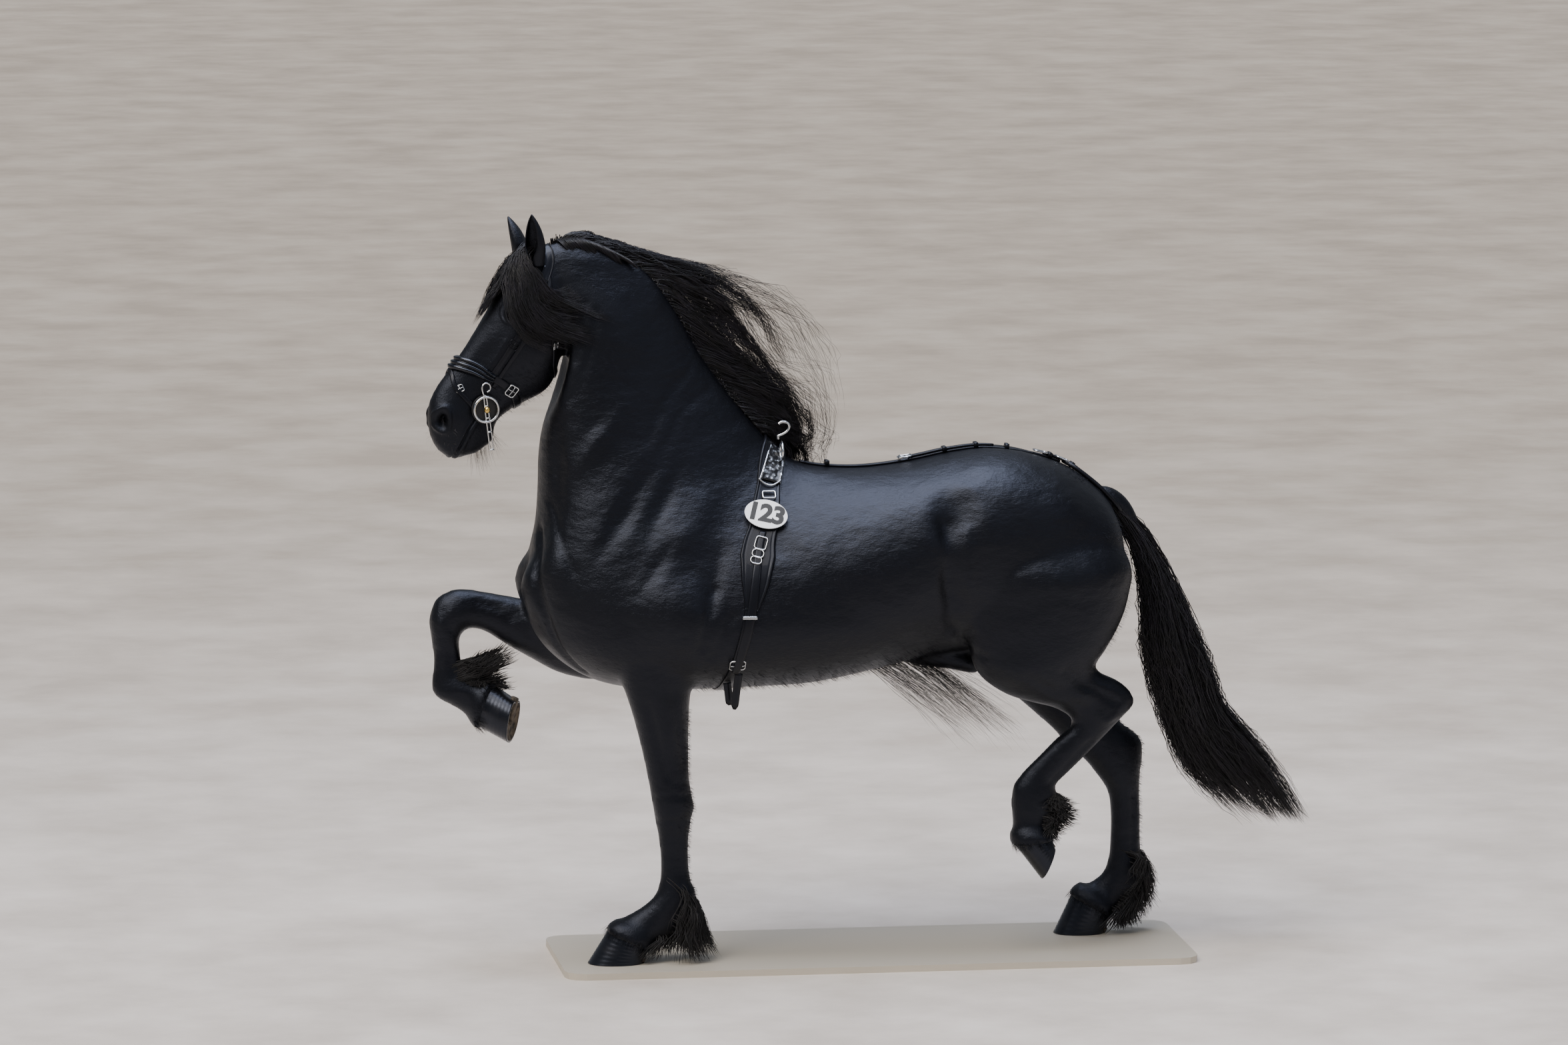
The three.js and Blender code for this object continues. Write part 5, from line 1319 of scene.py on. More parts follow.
def feather(name, count, locks=64, steps=9):
    """Locks that grow all round the back of a foot and reach from the root line to the tip line."""
    roots, tips, ahead, y, wide, short = FEATHER[name]
    lock_no = rng.integers(0, locks, count)
    u = np.linspace(0, 1, steps)[None, :, None]
    down = np.clip(rng.uniform(0, 1, locks)[lock_no] + rng.normal(0, 0.05, count), 0, 1)
    side = np.clip(rng.uniform(-1, 1, locks)[lock_no] + rng.normal(0, 0.09, count), -1.1, 1.1)
    root, tip = along(roots, down), along(tips, down)
    start, finish = ahead[0] * side**2 * 0.5, ahead[1] * side**2
    reach = rng.uniform(short, 1.1, locks)[lock_no] * rng.uniform(short + 0.25, 1.05, count)
    a, b, c = (root + (tip - root) * (t * reach)[:, None] for t in (0.35, 0.7, 1.0))
    line = np.stack([
        np.stack([root[:, 0] + start - 10, y + 26 * side, root[:, 1] + 4], -1),
        np.stack([a[:, 0] + start * 0.9 + 12, y + 50 * wide * side, a[:, 1] + 8], -1),
        np.stack([b[:, 0] + finish * 0.7, y + 68 * wide * side, b[:, 1]], -1),
        np.stack([c[:, 0] + finish, y + 80 * wide * side, c[:, 1]], -1),
    ])
    centre = along(line.reshape(4, -1), u.ravel()).reshape(steps, count, 3).transpose(1, 0, 2)
    centre = centre + rng.normal(0, 1, (count, 1, 3)) * [4, 5, 4] * (0.4 + u)
    across = unit(rng.normal(0, 1, (locks, 3)))[lock_no]
    size = rng.uniform(2, 8, locks)[lock_no]
    centre = wave(centre, across, size, 62, rng.uniform(0, 6.28, locks)[lock_no])
    centre[..., 2] = np.maximum(centre[..., 2], GROUND)
    facing = np.stack([1.1 - np.abs(side), side * 1.1, 0.1 + 0 * side], -1)[:, None]
    spots = np.stack([down, 0.5 + side / 2.4], -1)
    return strands("feather_" + name, from_horse(centre), (3.4, 0.7), facing, spots, FEATHER_HAIR)


for name in FEATHER:
    feather(name, 1280)

# %% [markdown]
# ### Finer hair
# Long soft hair under the sheath, whiskers on the chin and muzzle, lashes, hair at the coronets and
# down the backs of the legs, and short tufts where the coat breaks the outline of jaw, chest and belly.


# %% Tufts
def chart(points):
    """Where places on the skin lie on an unwrap that goes once round the horse's length."""
    along_it = (points[:, 0] - cad_box[0][0]) / (cad_box[1][0] - cad_box[0][0])
    round_it = (np.arctan2(points[:, 2] - 1.2, points[:, 1]) / (2 * math.pi)) % 1.0
    return np.stack([along_it, round_it], -1)


def tufts(name, roots, ways, lengths, width, droop, material, steps=6, curl=0.0):
    """Single hairs that leave the skin at `roots` towards `ways` and bend down by `droop`."""
    u = np.linspace(0, 1, steps)[None, :, None]
    centre = roots[:, None] + ways[:, None] * u * lengths[:, None, None]
    centre = centre + np.array([0.25, 0, -1.0]) * droop * (u**2) * lengths[:, None, None]
    if curl:
        swing = np.sin(u * 9 + rng.uniform(0, 6.28, (len(roots), 1, 1))) * curl * lengths[:, None, None] * u
        centre = centre + unit(rng.normal(0, 1, (len(roots), 3)))[:, None] * swing
    facing = np.cross(ways, [0.3, 0.9, 0.2])[:, None]
    return strands(name, centre, (width, width * 0.3), facing, chart(roots), material)


def skin_spots(count, wanted, box):
    """Random places on the skin inside a box, with the way the skin faces."""
    low, high = (from_horse(corner) for corner in box)
    near, out = nearest(rng.uniform(low, high, (count * 4, 3)))
    keep = wanted(out)
    return near[keep][:count], out[keep][:count]


print("tufts ready")

# %% Hair under the sheath and at the coronets
roots, out = skin_spots(480, lambda n: n[:, 2] < -0.25, ((-20, -60, 790), (190, 60, 900)))
ways = unit(out * 0.2 + np.array([1.0, 0, -0.5]) + rng.normal(0, 0.1, roots.shape))
long = rng.uniform(0.14, 0.36, len(roots))
tufts("sheath_hair", roots, ways, long, 1.1, 0.12, LONG_HAIR, 12, 0.04)
CORONET_HAIRS = 260
for foot, (crown, _, y, _) in HOOVES.items():
    front, back = corners_of(foot)[:2]
    down = down_of(foot)
    edge = hoof_ring(front - down * 6, back - down * 6, crown[2] + 8, y)
    places, ends = (from_horse(swung(foot, edge + [down[0] * low, 0, down[1] * low])) for low in (0, 30))
    pick = rng.integers(0, HOOF_SIDES, CORONET_HAIRS)
    roots, out = nearest(places[pick] + rng.normal(0, 0.005, (CORONET_HAIRS, 3)))
    ways = unit(unit(ends[pick] - places[pick]) + out * 0.35 + rng.normal(0, 0.15, roots.shape))
    long = rng.uniform(0.016, 0.032, CORONET_HAIRS)
    tufts("coronet_hair_" + foot, roots, ways, long, 1.4, 0.1, LEG_COAT, 4)
print("hair under the sheath and at the coronets done")

# %% Whiskers
roots, out = nearest(from_head(rng.uniform((540, -34, -215), (640, 34, -165), (150, 3))))
ways = unit(out + np.array([-0.25, 0, -0.8]) + rng.normal(0, 0.22, roots.shape))
tufts("chin_whiskers", roots, ways, rng.uniform(0.02, 0.075, 150), 0.8, 0.1, WHISKER)
roots, out = nearest(from_head(rng.uniform((590, -60, -120), (672, 60, -30), (90, 3))))
ways = unit(out + rng.normal(0, 0.2, roots.shape))
tufts("nose_whiskers", roots, ways, rng.uniform(0.012, 0.035, 90), 0.6, 0.1, WHISKER)
print("whiskers done")

# %% Tufts in the outline
# How many, the box they grow in, their length, how far they stand off and which side of the skin.
OUTLINES = {
    "jaw_tufts": (900, ((-1230, -140, 1620), (-960, 140, 1830)), 0.016, 0.25, lambda n: n[:, 2] < -0.2),
    "throat_tufts": (900, ((-1000, -110, 1380), (-850, 110, 1790)), 0.014, 0.2, lambda n: n[:, 0] < -0.3),
    "chest_tufts": (1500, ((-1110, -260, 900), (-850, 260, 1400)), 0.018, 0.2, lambda n: n[:, 0] < -0.3),
    "belly_tufts": (2000, ((-560, -260, 760), (300, 260, 900)), 0.022, 0.2, lambda n: n[:, 2] < -0.6),
    "back_tufts": (1500, ((-240, -150, 1440), (700, 150, 1560)), 0.012, 0.12, lambda n: n[:, 2] > 0.7),
    "quarter_tufts": (1500, ((640, -230, 900), (800, 230, 1300)), 0.016, 0.2, lambda n: n[:, 0] > 0.4),
    "fore_leg_tufts": (1300, ((-640, -220, 190), (-520, -90, 760)), 0.012, 0.25, lambda n: n[:, 0] > 0.3),
    "hind_leg_tufts": (1300, ((690, 80, 190), (880, 220, 760)), 0.012, 0.25, lambda n: n[:, 0] > 0.3),
}
LAY_BACK = np.array([1.0, 0, -0.45])
BURIED = 0.0005
for name, (count, box, length, lift, wanted) in OUTLINES.items():
    roots, out = skin_spots(count, wanted, box)
    ways = unit(out * lift + LAY_BACK + rng.normal(0, 0.12, roots.shape))
    long = rng.uniform(0.6, 1.2, len(roots)) * length
    finish = LEG_COAT if "leg" in name else BODY_COAT
    tufts(name, roots - out * BURIED, ways, long, 1.1, 0.15, finish, 4)
print("tufts in", len(OUTLINES), "places")

# %% [markdown]
# ## Eyes, ears and hooves
# These are harder and glossier than the coat, so each is a piece of its own. The ball of the eye sits
# in the opening of the lids, the ear is a rolled leaf that is open to the front, and the hoof flares
# from the coronet to the ground with faint growth rings.

# %% Horn and eyes
# Wet black horn: a bluish gleam over faint upright grain, 2 mm wide, with paler worn places.
HORN, place_of = patterned_material("hoof_horn", Roughness=0.26, IOR=1.54, Specular_IOR_Level=0.8,
                                    Specular_Tint=GLEAM)
worn = add_node(HORN, "TexNoise", {"Scale": scale_of(45), "Detail": 5.0}, [(place_of, "Vector")])
add_node(HORN, "ValToRGB", (), [(worn.outputs["Fac"], "Fac")],
         [(0.5, "#0e0f12"), (0.8, "#201f20")], into="Base Color")
upright = add_node(HORN, "Mapping", {"Scale": scale_of(2, 2, 25)}, [(place_of, "Vector")])
grain = add_node(HORN, "TexNoise", {"Scale": 1.0, "Detail": 3.0}, [(upright.outputs["Vector"], "Vector")])
add_node(HORN, "Bump", {"Strength": 0.2, "Distance": 0.0008}, [(grain.outputs["Fac"], "Height")],
         into="Normal")
# The sole is dry and dusty, with crumbs of about 17 mm pressed into it.
SOLE, place_of = patterned_material("hoof_sole", Roughness=0.8)
crumbs = add_node(SOLE, "TexNoise", {"Scale": scale_of(16.7), "Detail": 6.0}, [(place_of, "Vector")])
add_node(SOLE, "ValToRGB", (), [(crumbs.outputs["Fac"], "Fac")],
         [(0.35, "#2d2a27"), (0.65, "#75695a")], into="Base Color")
add_node(SOLE, "Bump", {"Strength": 0.6, "Distance": 0.002}, [(crumbs.outputs["Fac"], "Height")],
         into="Normal")
# The eye is wet, so it has a clear coat that mirrors the sky.
EYE_DARK = plain_material("dark_eye", Base_Color=linear("#0b0604"), Roughness=0.06, Coat_Weight=1.0)
EYE_IRIS = plain_material("brown_iris", Base_Color=linear("#1e0f07"), Roughness=0.12, Coat_Weight=1.0)
print("horn and eye ready")

# %% Eyes
EYE_RADIUS = 21.0
LASHES = 40
for side, name in ((-1, "eye_left"), (1, "eye_right")):
    opening, outward = eye_places[side], unit(np.array([0.1, side, 0.15]))
    centre = opening - outward * (EYE_RADIUS + 1.5)
    bpy.ops.mesh.primitive_uv_sphere_add(
        segments=40, ring_count=24, radius=EYE_RADIUS * MM, location=from_head(centre),
        rotation=Vector(outward @ HEAD_AXES.T).to_track_quat("Z", "Y").to_euler())
    ball = place(bpy.context.object)
    ball.name = name + "_ball"
    bpy.ops.object.shade_smooth()
    ball.data.materials.append(EYE_DARK)
    ball.data.materials.append(EYE_IRIS)
    for face in ball.data.polygons:
        off = to_head(np.array(face.center)) - centre
        reach = off - outward * (off @ outward)
        face.material_index = int(off @ outward > 0 and 6 < np.hypot(reach[0] * 0.75, reach[2] * 1.6) < 15)
    fit(ball, "eye", name)
    turn = rng.uniform(math.radians(35), math.radians(150), LASHES)
    lid = from_head(opening + np.stack([-17 * np.cos(turn), 0 * turn, 10 * np.sin(turn)], -1))
    roots, out = nearest(lid)
    ways = unit(out + (lid - from_head(opening)) * 25 + rng.normal(0, 0.1, roots.shape))
    tufts(name + "_lashes", roots, ways, rng.uniform(0.012, 0.02, LASHES), 0.7, 0.5, LONG_HAIR, 4)
print("eyes in")

# %% Ears
# The middle of the base, the tip and the way the ear opens, in the head's own millimetres.
EARS = {
    "ear_left": ((52, -58, -2), (-53, -80, 91), (0.75, -0.45, 0.5)),
    "ear_right": ((56, 58, 0), (-25, 80, 96), (0.75, 0.45, 0.5)),
}
# Place along the ear, half width, depth and lean.
EAR_SHAPE = [(-0.1, 24, 23, 0), (0.12, 30, 26, 0), (0.35, 34, 25, 0), (0.62, 28, 19, 0), (0.85, 16, 10, 2),
             (1, 2, 2, 4)]
EAR_SKIN = 4.0


def ear_grid(base, tip, open_to):
    """Rings of a rolled leaf, each round its outside and back along its inside."""
    base, tip, open_to = (np.array(v, float) for v in (base, tip, open_to))
    axis = tip - base
    front = unit(open_to - axis * (open_to @ axis) / (axis @ axis))
    side = unit(np.cross(axis, front))
    t, wide, deep, lean = along(EAR_SHAPE, np.linspace(0, 1, 22)).T
    gap = 0.25 + 0.62 * ramp(t, 0.0, 0.4) * (1 - ramp(t, 0.8, 1.0))
    arc = np.linspace(0, 1, 17)[None]
    turn = math.pi / 2 + gap[:, None] + arc * (2 * math.pi - 2 * gap[:, None])

    def shell_at(shrink, turns):
        w, d = np.maximum(wide - shrink, 0.5)[:, None], np.maximum(deep - shrink, 0.5)[:, None]
        return (base + axis * t[:, None, None] + side * (np.cos(turns) * w)[..., None]
                + front * (np.sin(turns) * d + lean[:, None])[..., None])

    return np.concatenate([shell_at(0, turn), shell_at(EAR_SKIN, turn[:, ::-1])], 1)


for name, (base, tip, open_to) in EARS.items():
    ear = closed_tube(name + "_leaf", from_head(ear_grid(base, tip, open_to)))
    ear.data.materials.append(HEAD_COAT)
    fit(ear, "coat", name)
    inside = from_head(ear_grid(base, tip, open_to)[3:13, 20:31]).reshape(-1, 3)
    inner = np.repeat(inside, 2, 0) + rng.normal(0, 0.0015, (2 * len(inside), 3))
    lift = from_head(np.array(open_to) * 40 + np.array(tip) - base) - HEAD_ORIGIN
    ways = unit(unit(lift) + rng.normal(0, 0.25, inner.shape))
    tufts(name + "_hair", inner, ways, rng.uniform(0.01, 0.02, len(inner)), 0.8, 0.05, LONG_HAIR, 4)
print("ears in")

# %% Hooves
WALL_RINGS = 26


def frog(name):
    """The wedge of soft horn in the sole, wide at the heels, with a point towards the toe."""
    low_front, low_back = corners_of(name)[2:]
    inward = -down_of(name)
    turn = circle(16)
    grid = []
    for t in np.linspace(0, 1, 10):
        middle = low_back + (low_front - low_back) * (0.03 + 0.6 * t) + inward * 8
        high, half = 11 - 6 * t, 3 + 23 * (1 - t) ** 0.8
        at = middle - inward * (np.sin(turn) * high)[:, None]
        grid.append(np.stack([at[:, 0], HOOVES[name][2] + half * np.cos(turn), at[:, 1]], -1))
    piece = closed_tube(name + "_frog", from_horse(swung(name, np.array(grid))))
    piece.data.materials.append(SOLE)
    return piece


def hoof(name):
    """The wall with its growth rings, the edge it stands on, the hollow sole and the frog."""
    crown_front, crown_back, low_front, low_back = corners_of(name)
    crown, sole, y = HOOVES[name][:3]
    rows = []
    for t in np.linspace(0.0, 0.97, WALL_RINGS):
        growth = 0.22 * math.sin(t * 46)
        half = crown[2] + (sole[2] - crown[2]) * t
        front = crown_front + (low_front - crown_front) * t
        back = crown_back + (low_back - crown_back) * t
        away = unit(front - back) * growth
        rows.append(hoof_ring(front + away, back - away, half + growth, y, 1 - 0.08 * t, 0.22 * t))
    centre = (low_front + low_back) / 2
    inward = unit((crown_front + crown_back) / 2 - centre)
    for shrink, depth in ((0.0, 0.0), (0.04, -0.4), (0.09, 0.0), (0.12, 3.0), (0.3, 8.0), (0.6, 10.0)):
        front, back = low_front + (centre - low_front) * shrink, low_back + (centre - low_back) * shrink
        rows.append(hoof_ring(front + inward * depth, back + inward * depth, sole[2] * (1 - shrink), y, 0.92,
                              0.22 * (1 - shrink)))
    thing = closed_tube("wall", from_horse(swung(name, np.array(rows))))
    thing.data.materials.append(HORN)
    thing.data.materials.append(SOLE)
    under = np.repeat(np.arange(len(rows) - 1) >= WALL_RINGS + 2, HOOF_SIDES)
    under = np.concatenate([under, np.zeros(HOOF_SIDES // 2, bool), np.ones(HOOF_SIDES // 2, bool)])
    thing.data.polygons.foreach_set("material_index", under.astype(np.int32))
    return join([thing, frog(name)], "hoof_" + name + "_horn")


for name in HOOVES:
    fit(hoof(name), "horn", "hoof_" + name)
print("hooves in")

# %% [markdown]
# ## Show harness
# A driving bridle with a padded patent noseband, and a surcingle with a crupper. The straps are laid on
# the skin itself: a line is drawn along the skin, then the strap's section is carried along it, so
# that it follows every hollow of the head and the trunk.

# %% Harness materials
def make_leather(name, colour, gloss, grain, coat):
    """Dyed leather with a polished face over pores 1.4 mm apart."""
    material, place_of = patterned_material(
        name, Base_Color=linear(colour), Roughness=gloss, Coat_Weight=coat, Coat_Roughness=0.06,
        Specular_Tint=GLEAM)
    pores = add_node(material, "TexVoronoi", {"Scale": scale_of(1.4)}, [(place_of, "Vector")])
    add_node(material, "Bump", {"Strength": grain, "Distance": 0.0004},
             [(pores.outputs["Distance"], "Height")], into="Normal")
    return material


def make_metal(name, colour, gloss):
    """Polished metal with faint waves and scuffs of about 3 mm from cleaning."""
    material, place_of = patterned_material(name, Base_Color=linear(colour), Roughness=gloss, Metallic=1.0)
    scuffs = add_node(material, "TexNoise", {"Scale": scale_of(3.3), "Detail": 4.0},
                      [(place_of, "Vector")])
    add_node(material, "Bump", {"Strength": 0.08, "Distance": 0.0005},
             [(scuffs.outputs["Fac"], "Height")], into="Normal")
    return material


# Strap leather has a waxed, half-dull face; patent leather is lacquered and mirrors the sky.
LEATHER = make_leather("black_strap_leather", "#0a0a0d", 0.36, 0.25, 0.12)
PATENT = make_leather("black_patent_leather", "#06080e", 0.16, 0.05, 0.5)
# Nickel plating is bright and cool, blackened steel is dim, and the brass knobs are warm.
NICKEL = make_metal("polished_nickel", "#cfd2d6", 0.16)
GUNMETAL = make_metal("blackened_steel", "#2a2b30", 0.3)
BRASS = make_metal("polished_brass", "#d6b566", 0.22)
# Moulded rubber is dull, fired enamel is smooth and bright, and the digits' paint is flat.
RUBBER = plain_material("black_rubber", Base_Color=linear("#101012"), Roughness=0.55)
ENAMEL = plain_material("white_enamel", Base_Color=linear("#eceef2"), Roughness=0.25, Coat_Weight=0.4)
PAINT = plain_material("black_digit_paint", Base_Color=linear("#050508"), Roughness=0.5)
print("harness finishes ready")


# %% Lines on the skin
def spot(x, z, side, frame_of=from_horse):
    """The skin's point seen from one side, or the nearest one where a line of sight misses it."""
    hit = on_side(x, z, side, frame_of)
    return nearest([frame_of([x, side * 40, z])])[0][0] if hit is None else hit


def sight(path, side, frame_of=from_horse):
    """The places on the skin of a line seen from one side."""
    return np.array([spot(x, z, side, frame_of) for x, z in path])


def laid(points, gap=0.006):
    """An even line on the skin through the points, in steps of about `gap`."""
    dense, _ = nearest(along(points, np.linspace(0, 1, 40 * len(points))))
    run = np.concatenate([[0], np.cumsum(np.linalg.norm(np.diff(dense, axis=0), axis=1))])
    at = np.linspace(0, run[-1], max(int(run[-1] / gap), 4))
    line = np.stack([np.interp(at, run, dense[:, k]) for k in range(3)], -1)
    for _ in range(3):
        line[1:-1] = (line[:-2] + 2 * line[1:-1] + line[2:]) / 4
    return line


def across_top(path, middle, frame_of=from_horse, gap=0.006):
    """A line laid from one side to the other, through a middle point."""
    over = nearest([frame_of(middle)])[0]
    return laid(np.vstack([sight(path, -1, frame_of), over, sight(path, 1, frame_of)[::-1]]), gap)


print("lines ready")

# %% Straps
# A strap's section: across it from -1 to 1, and up from the skin from 0 to 1.
FLAT = [(-1, 0.05), (0, 0.05), (1, 0.05), (1.02, 0.6), (0.93, 0.96), (0.5, 1), (0, 1), (-0.5, 1),
        (-0.93, 0.96), (-1.02, 0.6)]
ROLLS = [(-1, 0.05), (0, 0.05), (1, 0.05)]
ROLLS += [(a, 0.58 + 0.42 * abs(math.sin((a + 1) * 1.5 * math.pi))) for a in np.linspace(1, -1, 25)]
PIPED = [(-1, 0.05), (0, 0.05), (1, 0.05), (1.03, 0.5), (0.98, 0.85), (0.9, 0.95), (0.82, 0.8), (0.76, 0.72),
         (0.4, 0.84), (0, 0.88), (-0.4, 0.84), (-0.76, 0.72), (-0.82, 0.8), (-0.9, 0.95), (-0.98, 0.85),
         (-1.03, 0.5)]
STITCHED = [(-1, 0.05), (0, 0.05), (1, 0.05), (1.03, 0.5), (0.98, 0.85), (0.9, 0.95), (0.82, 0.78)]
STITCHED += [(a, 0.78 + 0.1 * (i % 2)) for i, a in enumerate(np.linspace(0.74, -0.74, 19))]
STITCHED += [(-0.82, 0.78), (-0.9, 0.95), (-0.98, 0.85), (-1.03, 0.5)]


def ribbon(name, line, width, high, material=LEATHER, section=FLAT, low=0.0, slot="leather", replaced=()):
    """Carries a strap's section along a line on the skin; widths and heights are millimetres."""
    count = len(line)
    widths = np.interp(np.linspace(0, 1, count), np.linspace(0, 1, np.size(width)), np.atleast_1d(width))
    _, out = nearest(line)
    tangent = unit(np.gradient(line, axis=0))
    side = unit(np.cross(tangent, out))
    columns = []
    for a, h in section:
        base, normal = nearest(line + side * (a * widths * MM / 2)[:, None])
        normal = unit(normal + 1.5 * out)
        columns.append(base + normal * (low + h * (high - low) if h > 0.06 else low + 0.3) * MM)
    thing = closed_tube(name, np.stack(columns, 1))
    thing.data.materials.append(material)
    return fit(thing, slot, *replaced)


print("straps ready")

# %% Bridle straps
CROWN = [(436, -76), (330, -71), (211, -66), (108, -52), (36, -42), (0, -18)]
BROW = [(97, -62), (108, -10), (113, 16)]
THROAT = [(50, -38), (100, -76), (172, -121), (236, -177), (284, -220)]
NOSE_PAD = [(412, -84), (418, -20), (430, 18)]
NOSE_STRAP = [(411, -80), (413, -145), (430, -188)]
FLASH = [(470, 30), (494, -3), (508, -52), (524, -120), (540, -175)]
CROWN_WIDTHS = [18, 18, 28, 30, 28, 18, 18]
NOSE_WIDTHS = [26, 38, 42, 44, 42, 38, 26]
# Name, line, middle point, width, height, finish, section and the solid it replaces.
BRIDLE = [
    ("bridle_crown_strap", CROWN, [-26, 0, 10], CROWN_WIDTHS, 6.5, LEATHER, PIPED, "bridle_crown"),
    ("bridle_brow_strap", BROW, [114, 0, 34], 22, 10, PATENT, PIPED, "bridle_browband"),
    ("bridle_throat_strap", THROAT, [302, 0, -262], 17, 5, LEATHER, FLAT, "bridle_throatlash"),
    ("bridle_nose_pad", NOSE_PAD, [433, 0, 34], NOSE_WIDTHS, 14, PATENT, ROLLS, "bridle_noseband"),
    ("bridle_chin_line", NOSE_STRAP, [440, 0, -206], 23, 5.5, LEATHER, FLAT, "bridle_chin_strap"),
    ("bridle_flash_strap", FLASH[::-1], [455, 0, 36], 13, 5, LEATHER, FLAT, "bridle_flash"),
]
for name, path, middle, width, high, finish, section, node in BRIDLE:
    line = across_top(path, middle, from_head, 0.004 if section is ROLLS else 0.006)
    ribbon(name, line, width, high, finish, section, replaced=[node])
for side, name in SIDES:
    hanger = laid(sight([(x, z - 21) for x, z in CROWN[:4]], side, from_head))
    ribbon("bridle_nose_hanger_" + name, hanger, 12, 4.5)
print("bridle on")


# %% [markdown]
# ### Metalwork
# Buckles, rings and dees are bent from round wire. Each takes its place, its size and its turn from
# the solid that it replaces.

# %% Wire
def wire(name, path, radius, material=NICKEL, sides=10, closed=True):
    """Round wire through points in metres, as a ring or with two ends."""
    path = np.asarray(path, float)
    if closed:
        tangent = unit(np.roll(path, -1, 0) - np.roll(path, 1, 0))
    else:
        tangent = unit(np.gradient(path, axis=0))
    up = np.zeros_like(path)
    up[0] = unit(np.cross(tangent[0], [0.31, 0.72, 0.62]))
    for i in range(1, len(path)):
        up[i] = unit(up[i - 1] - tangent[i] * (up[i - 1] @ tangent[i]))
    if closed:
        twist = math.atan2(np.cross(up[-1], up[0]) @ tangent[0], up[-1] @ up[0])
        turn = np.linspace(0, twist, len(path), endpoint=False)
        other = np.cross(tangent, up)
        up = up * np.cos(turn)[:, None] + other * np.sin(turn)[:, None]
    other = np.cross(tangent, up)
    angle = circle(sides)
    around = up[:, None] * np.cos(angle)[:, None] + other[:, None] * np.sin(angle)[:, None]
    grid = path[:, None] + radius * around
    if closed:
        faces = tube_faces(len(path) + 1, sides) % (len(path) * sides)
        thing = face_outwards(mesh_of(name, grid.reshape(-1, 3), faces))
    else:
        thing = closed_tube(name, grid)
    thing.data.materials.append(material)
    return thing


def pose_of(name):
    """Centre, axes from longest to thinnest, and sizes of a solid; the last axis faces off the skin."""
    corners = points_of(nodes[name])
    centre = corners.mean(0)
    _, _, axes = np.linalg.svd(corners - centre, full_matrices=False)
    _, out = nearest([centre])
    if axes[2] @ out[0] < 0:
        axes[2] = -axes[2]
    return centre, axes, np.ptp((corners - centre) @ axes.T, axis=0)


def rounded(width, height, corner, steps=6):
    """A rectangle with round corners, as points in its own plane."""
    points = []
    for sx, sy, start in ((1, 1, 0), (-1, 1, 90), (-1, -1, 180), (1, -1, 270)):
        for turn in np.radians(np.linspace(start, start + 90, steps)):
            points.append((sx * (width / 2 - corner) + corner * math.cos(turn),
                           sy * (height / 2 - corner) + corner * math.sin(turn)))
    return np.array(points)


def flat_wire(name, outline, centre, axes, radius, material=NICKEL):
    """A ring of wire whose outline lies in the plane of the first two axes."""
    return wire(name, centre + outline[:, :1] * axes[0] + outline[:, 1:] * axes[1], radius, material)


def buckle(node, radius, tongue=True, material=NICKEL, moved=(0, 0)):
    """A frame with its bar and tongue, in the place of a solid; `moved` is along the head's x and z."""
    centre, axes, size = pose_of(node)
    centre = centre + HEAD_AXES @ np.array([moved[0], 0, moved[1]]) * MM
    wide, high = size[0] - 2 * radius, size[1] - 2 * radius
    outline = rounded(wide, high, min(high, wide) * 0.22)
    made = [flat_wire(node + "_frame", outline, centre, axes, radius, material)]
    if tongue:
        ends = [centre + axes[0] * wide * 0.5, centre - axes[0] * wide * 0.45 + axes[2] * radius]
        pin = np.linspace(0, 1, 8)[:, None] * (ends[1] - ends[0]) + ends[0]
        pin = pin + axes[2] * (radius * 1.2 * np.sin(np.linspace(0.3, math.pi, 8)))[:, None]
        made.append(wire(node + "_tongue", pin, radius * 0.7, material, 8, False))
        bar = np.array([centre - axes[1] * high / 2, centre, centre + axes[1] * high / 2])
        made.append(wire(node + "_bar", bar + axes[0] * wide * 0.02, radius * 0.7, material, 8, False))
    fit(join(made, node + "_wire"), "metal", node)


BUCKLES = {"buckle_throat": 1.5, "buckle_nose": 1.9, "buckle_girth_left": 2.3, "buckle_girth_right": 2.3}
for node, thick in BUCKLES.items():
    buckle(node, thick * MM)
for node in ("buckle_cheek_left", "buckle_cheek_right"):
    buckle(node, 1.3 * MM, True, GUNMETAL)
buckle("buckle_flash", 1.4 * MM, True, NICKEL, (-2, -15))
for node in ("surcingle_dee_left", "surcingle_dee_right", "crupper_dee"):
    buckle(node, 2.8 * MM, tongue=False)
print("buckles on")


# %% Bit
BIT_Y = 70
BIT_RING = 37
# Down the face, out of it, and the shank's width.
SHANK = [(470, -85, 13), (478, -92, 12), (506, -116, 14), (546, -152, 15), (594, -194, 15)]
HOOK_LINE = [(474, -88), (466, -74), (452, -62), (438, -66), (436, -80), (448, -88), (458, -84)]


def in_bit(side, x, z, y=0.0):
    """Places on one cheek of the bit, in metres."""
    return from_head(np.stack(np.broadcast_arrays(x, side * (BIT_Y + y), z), -1))


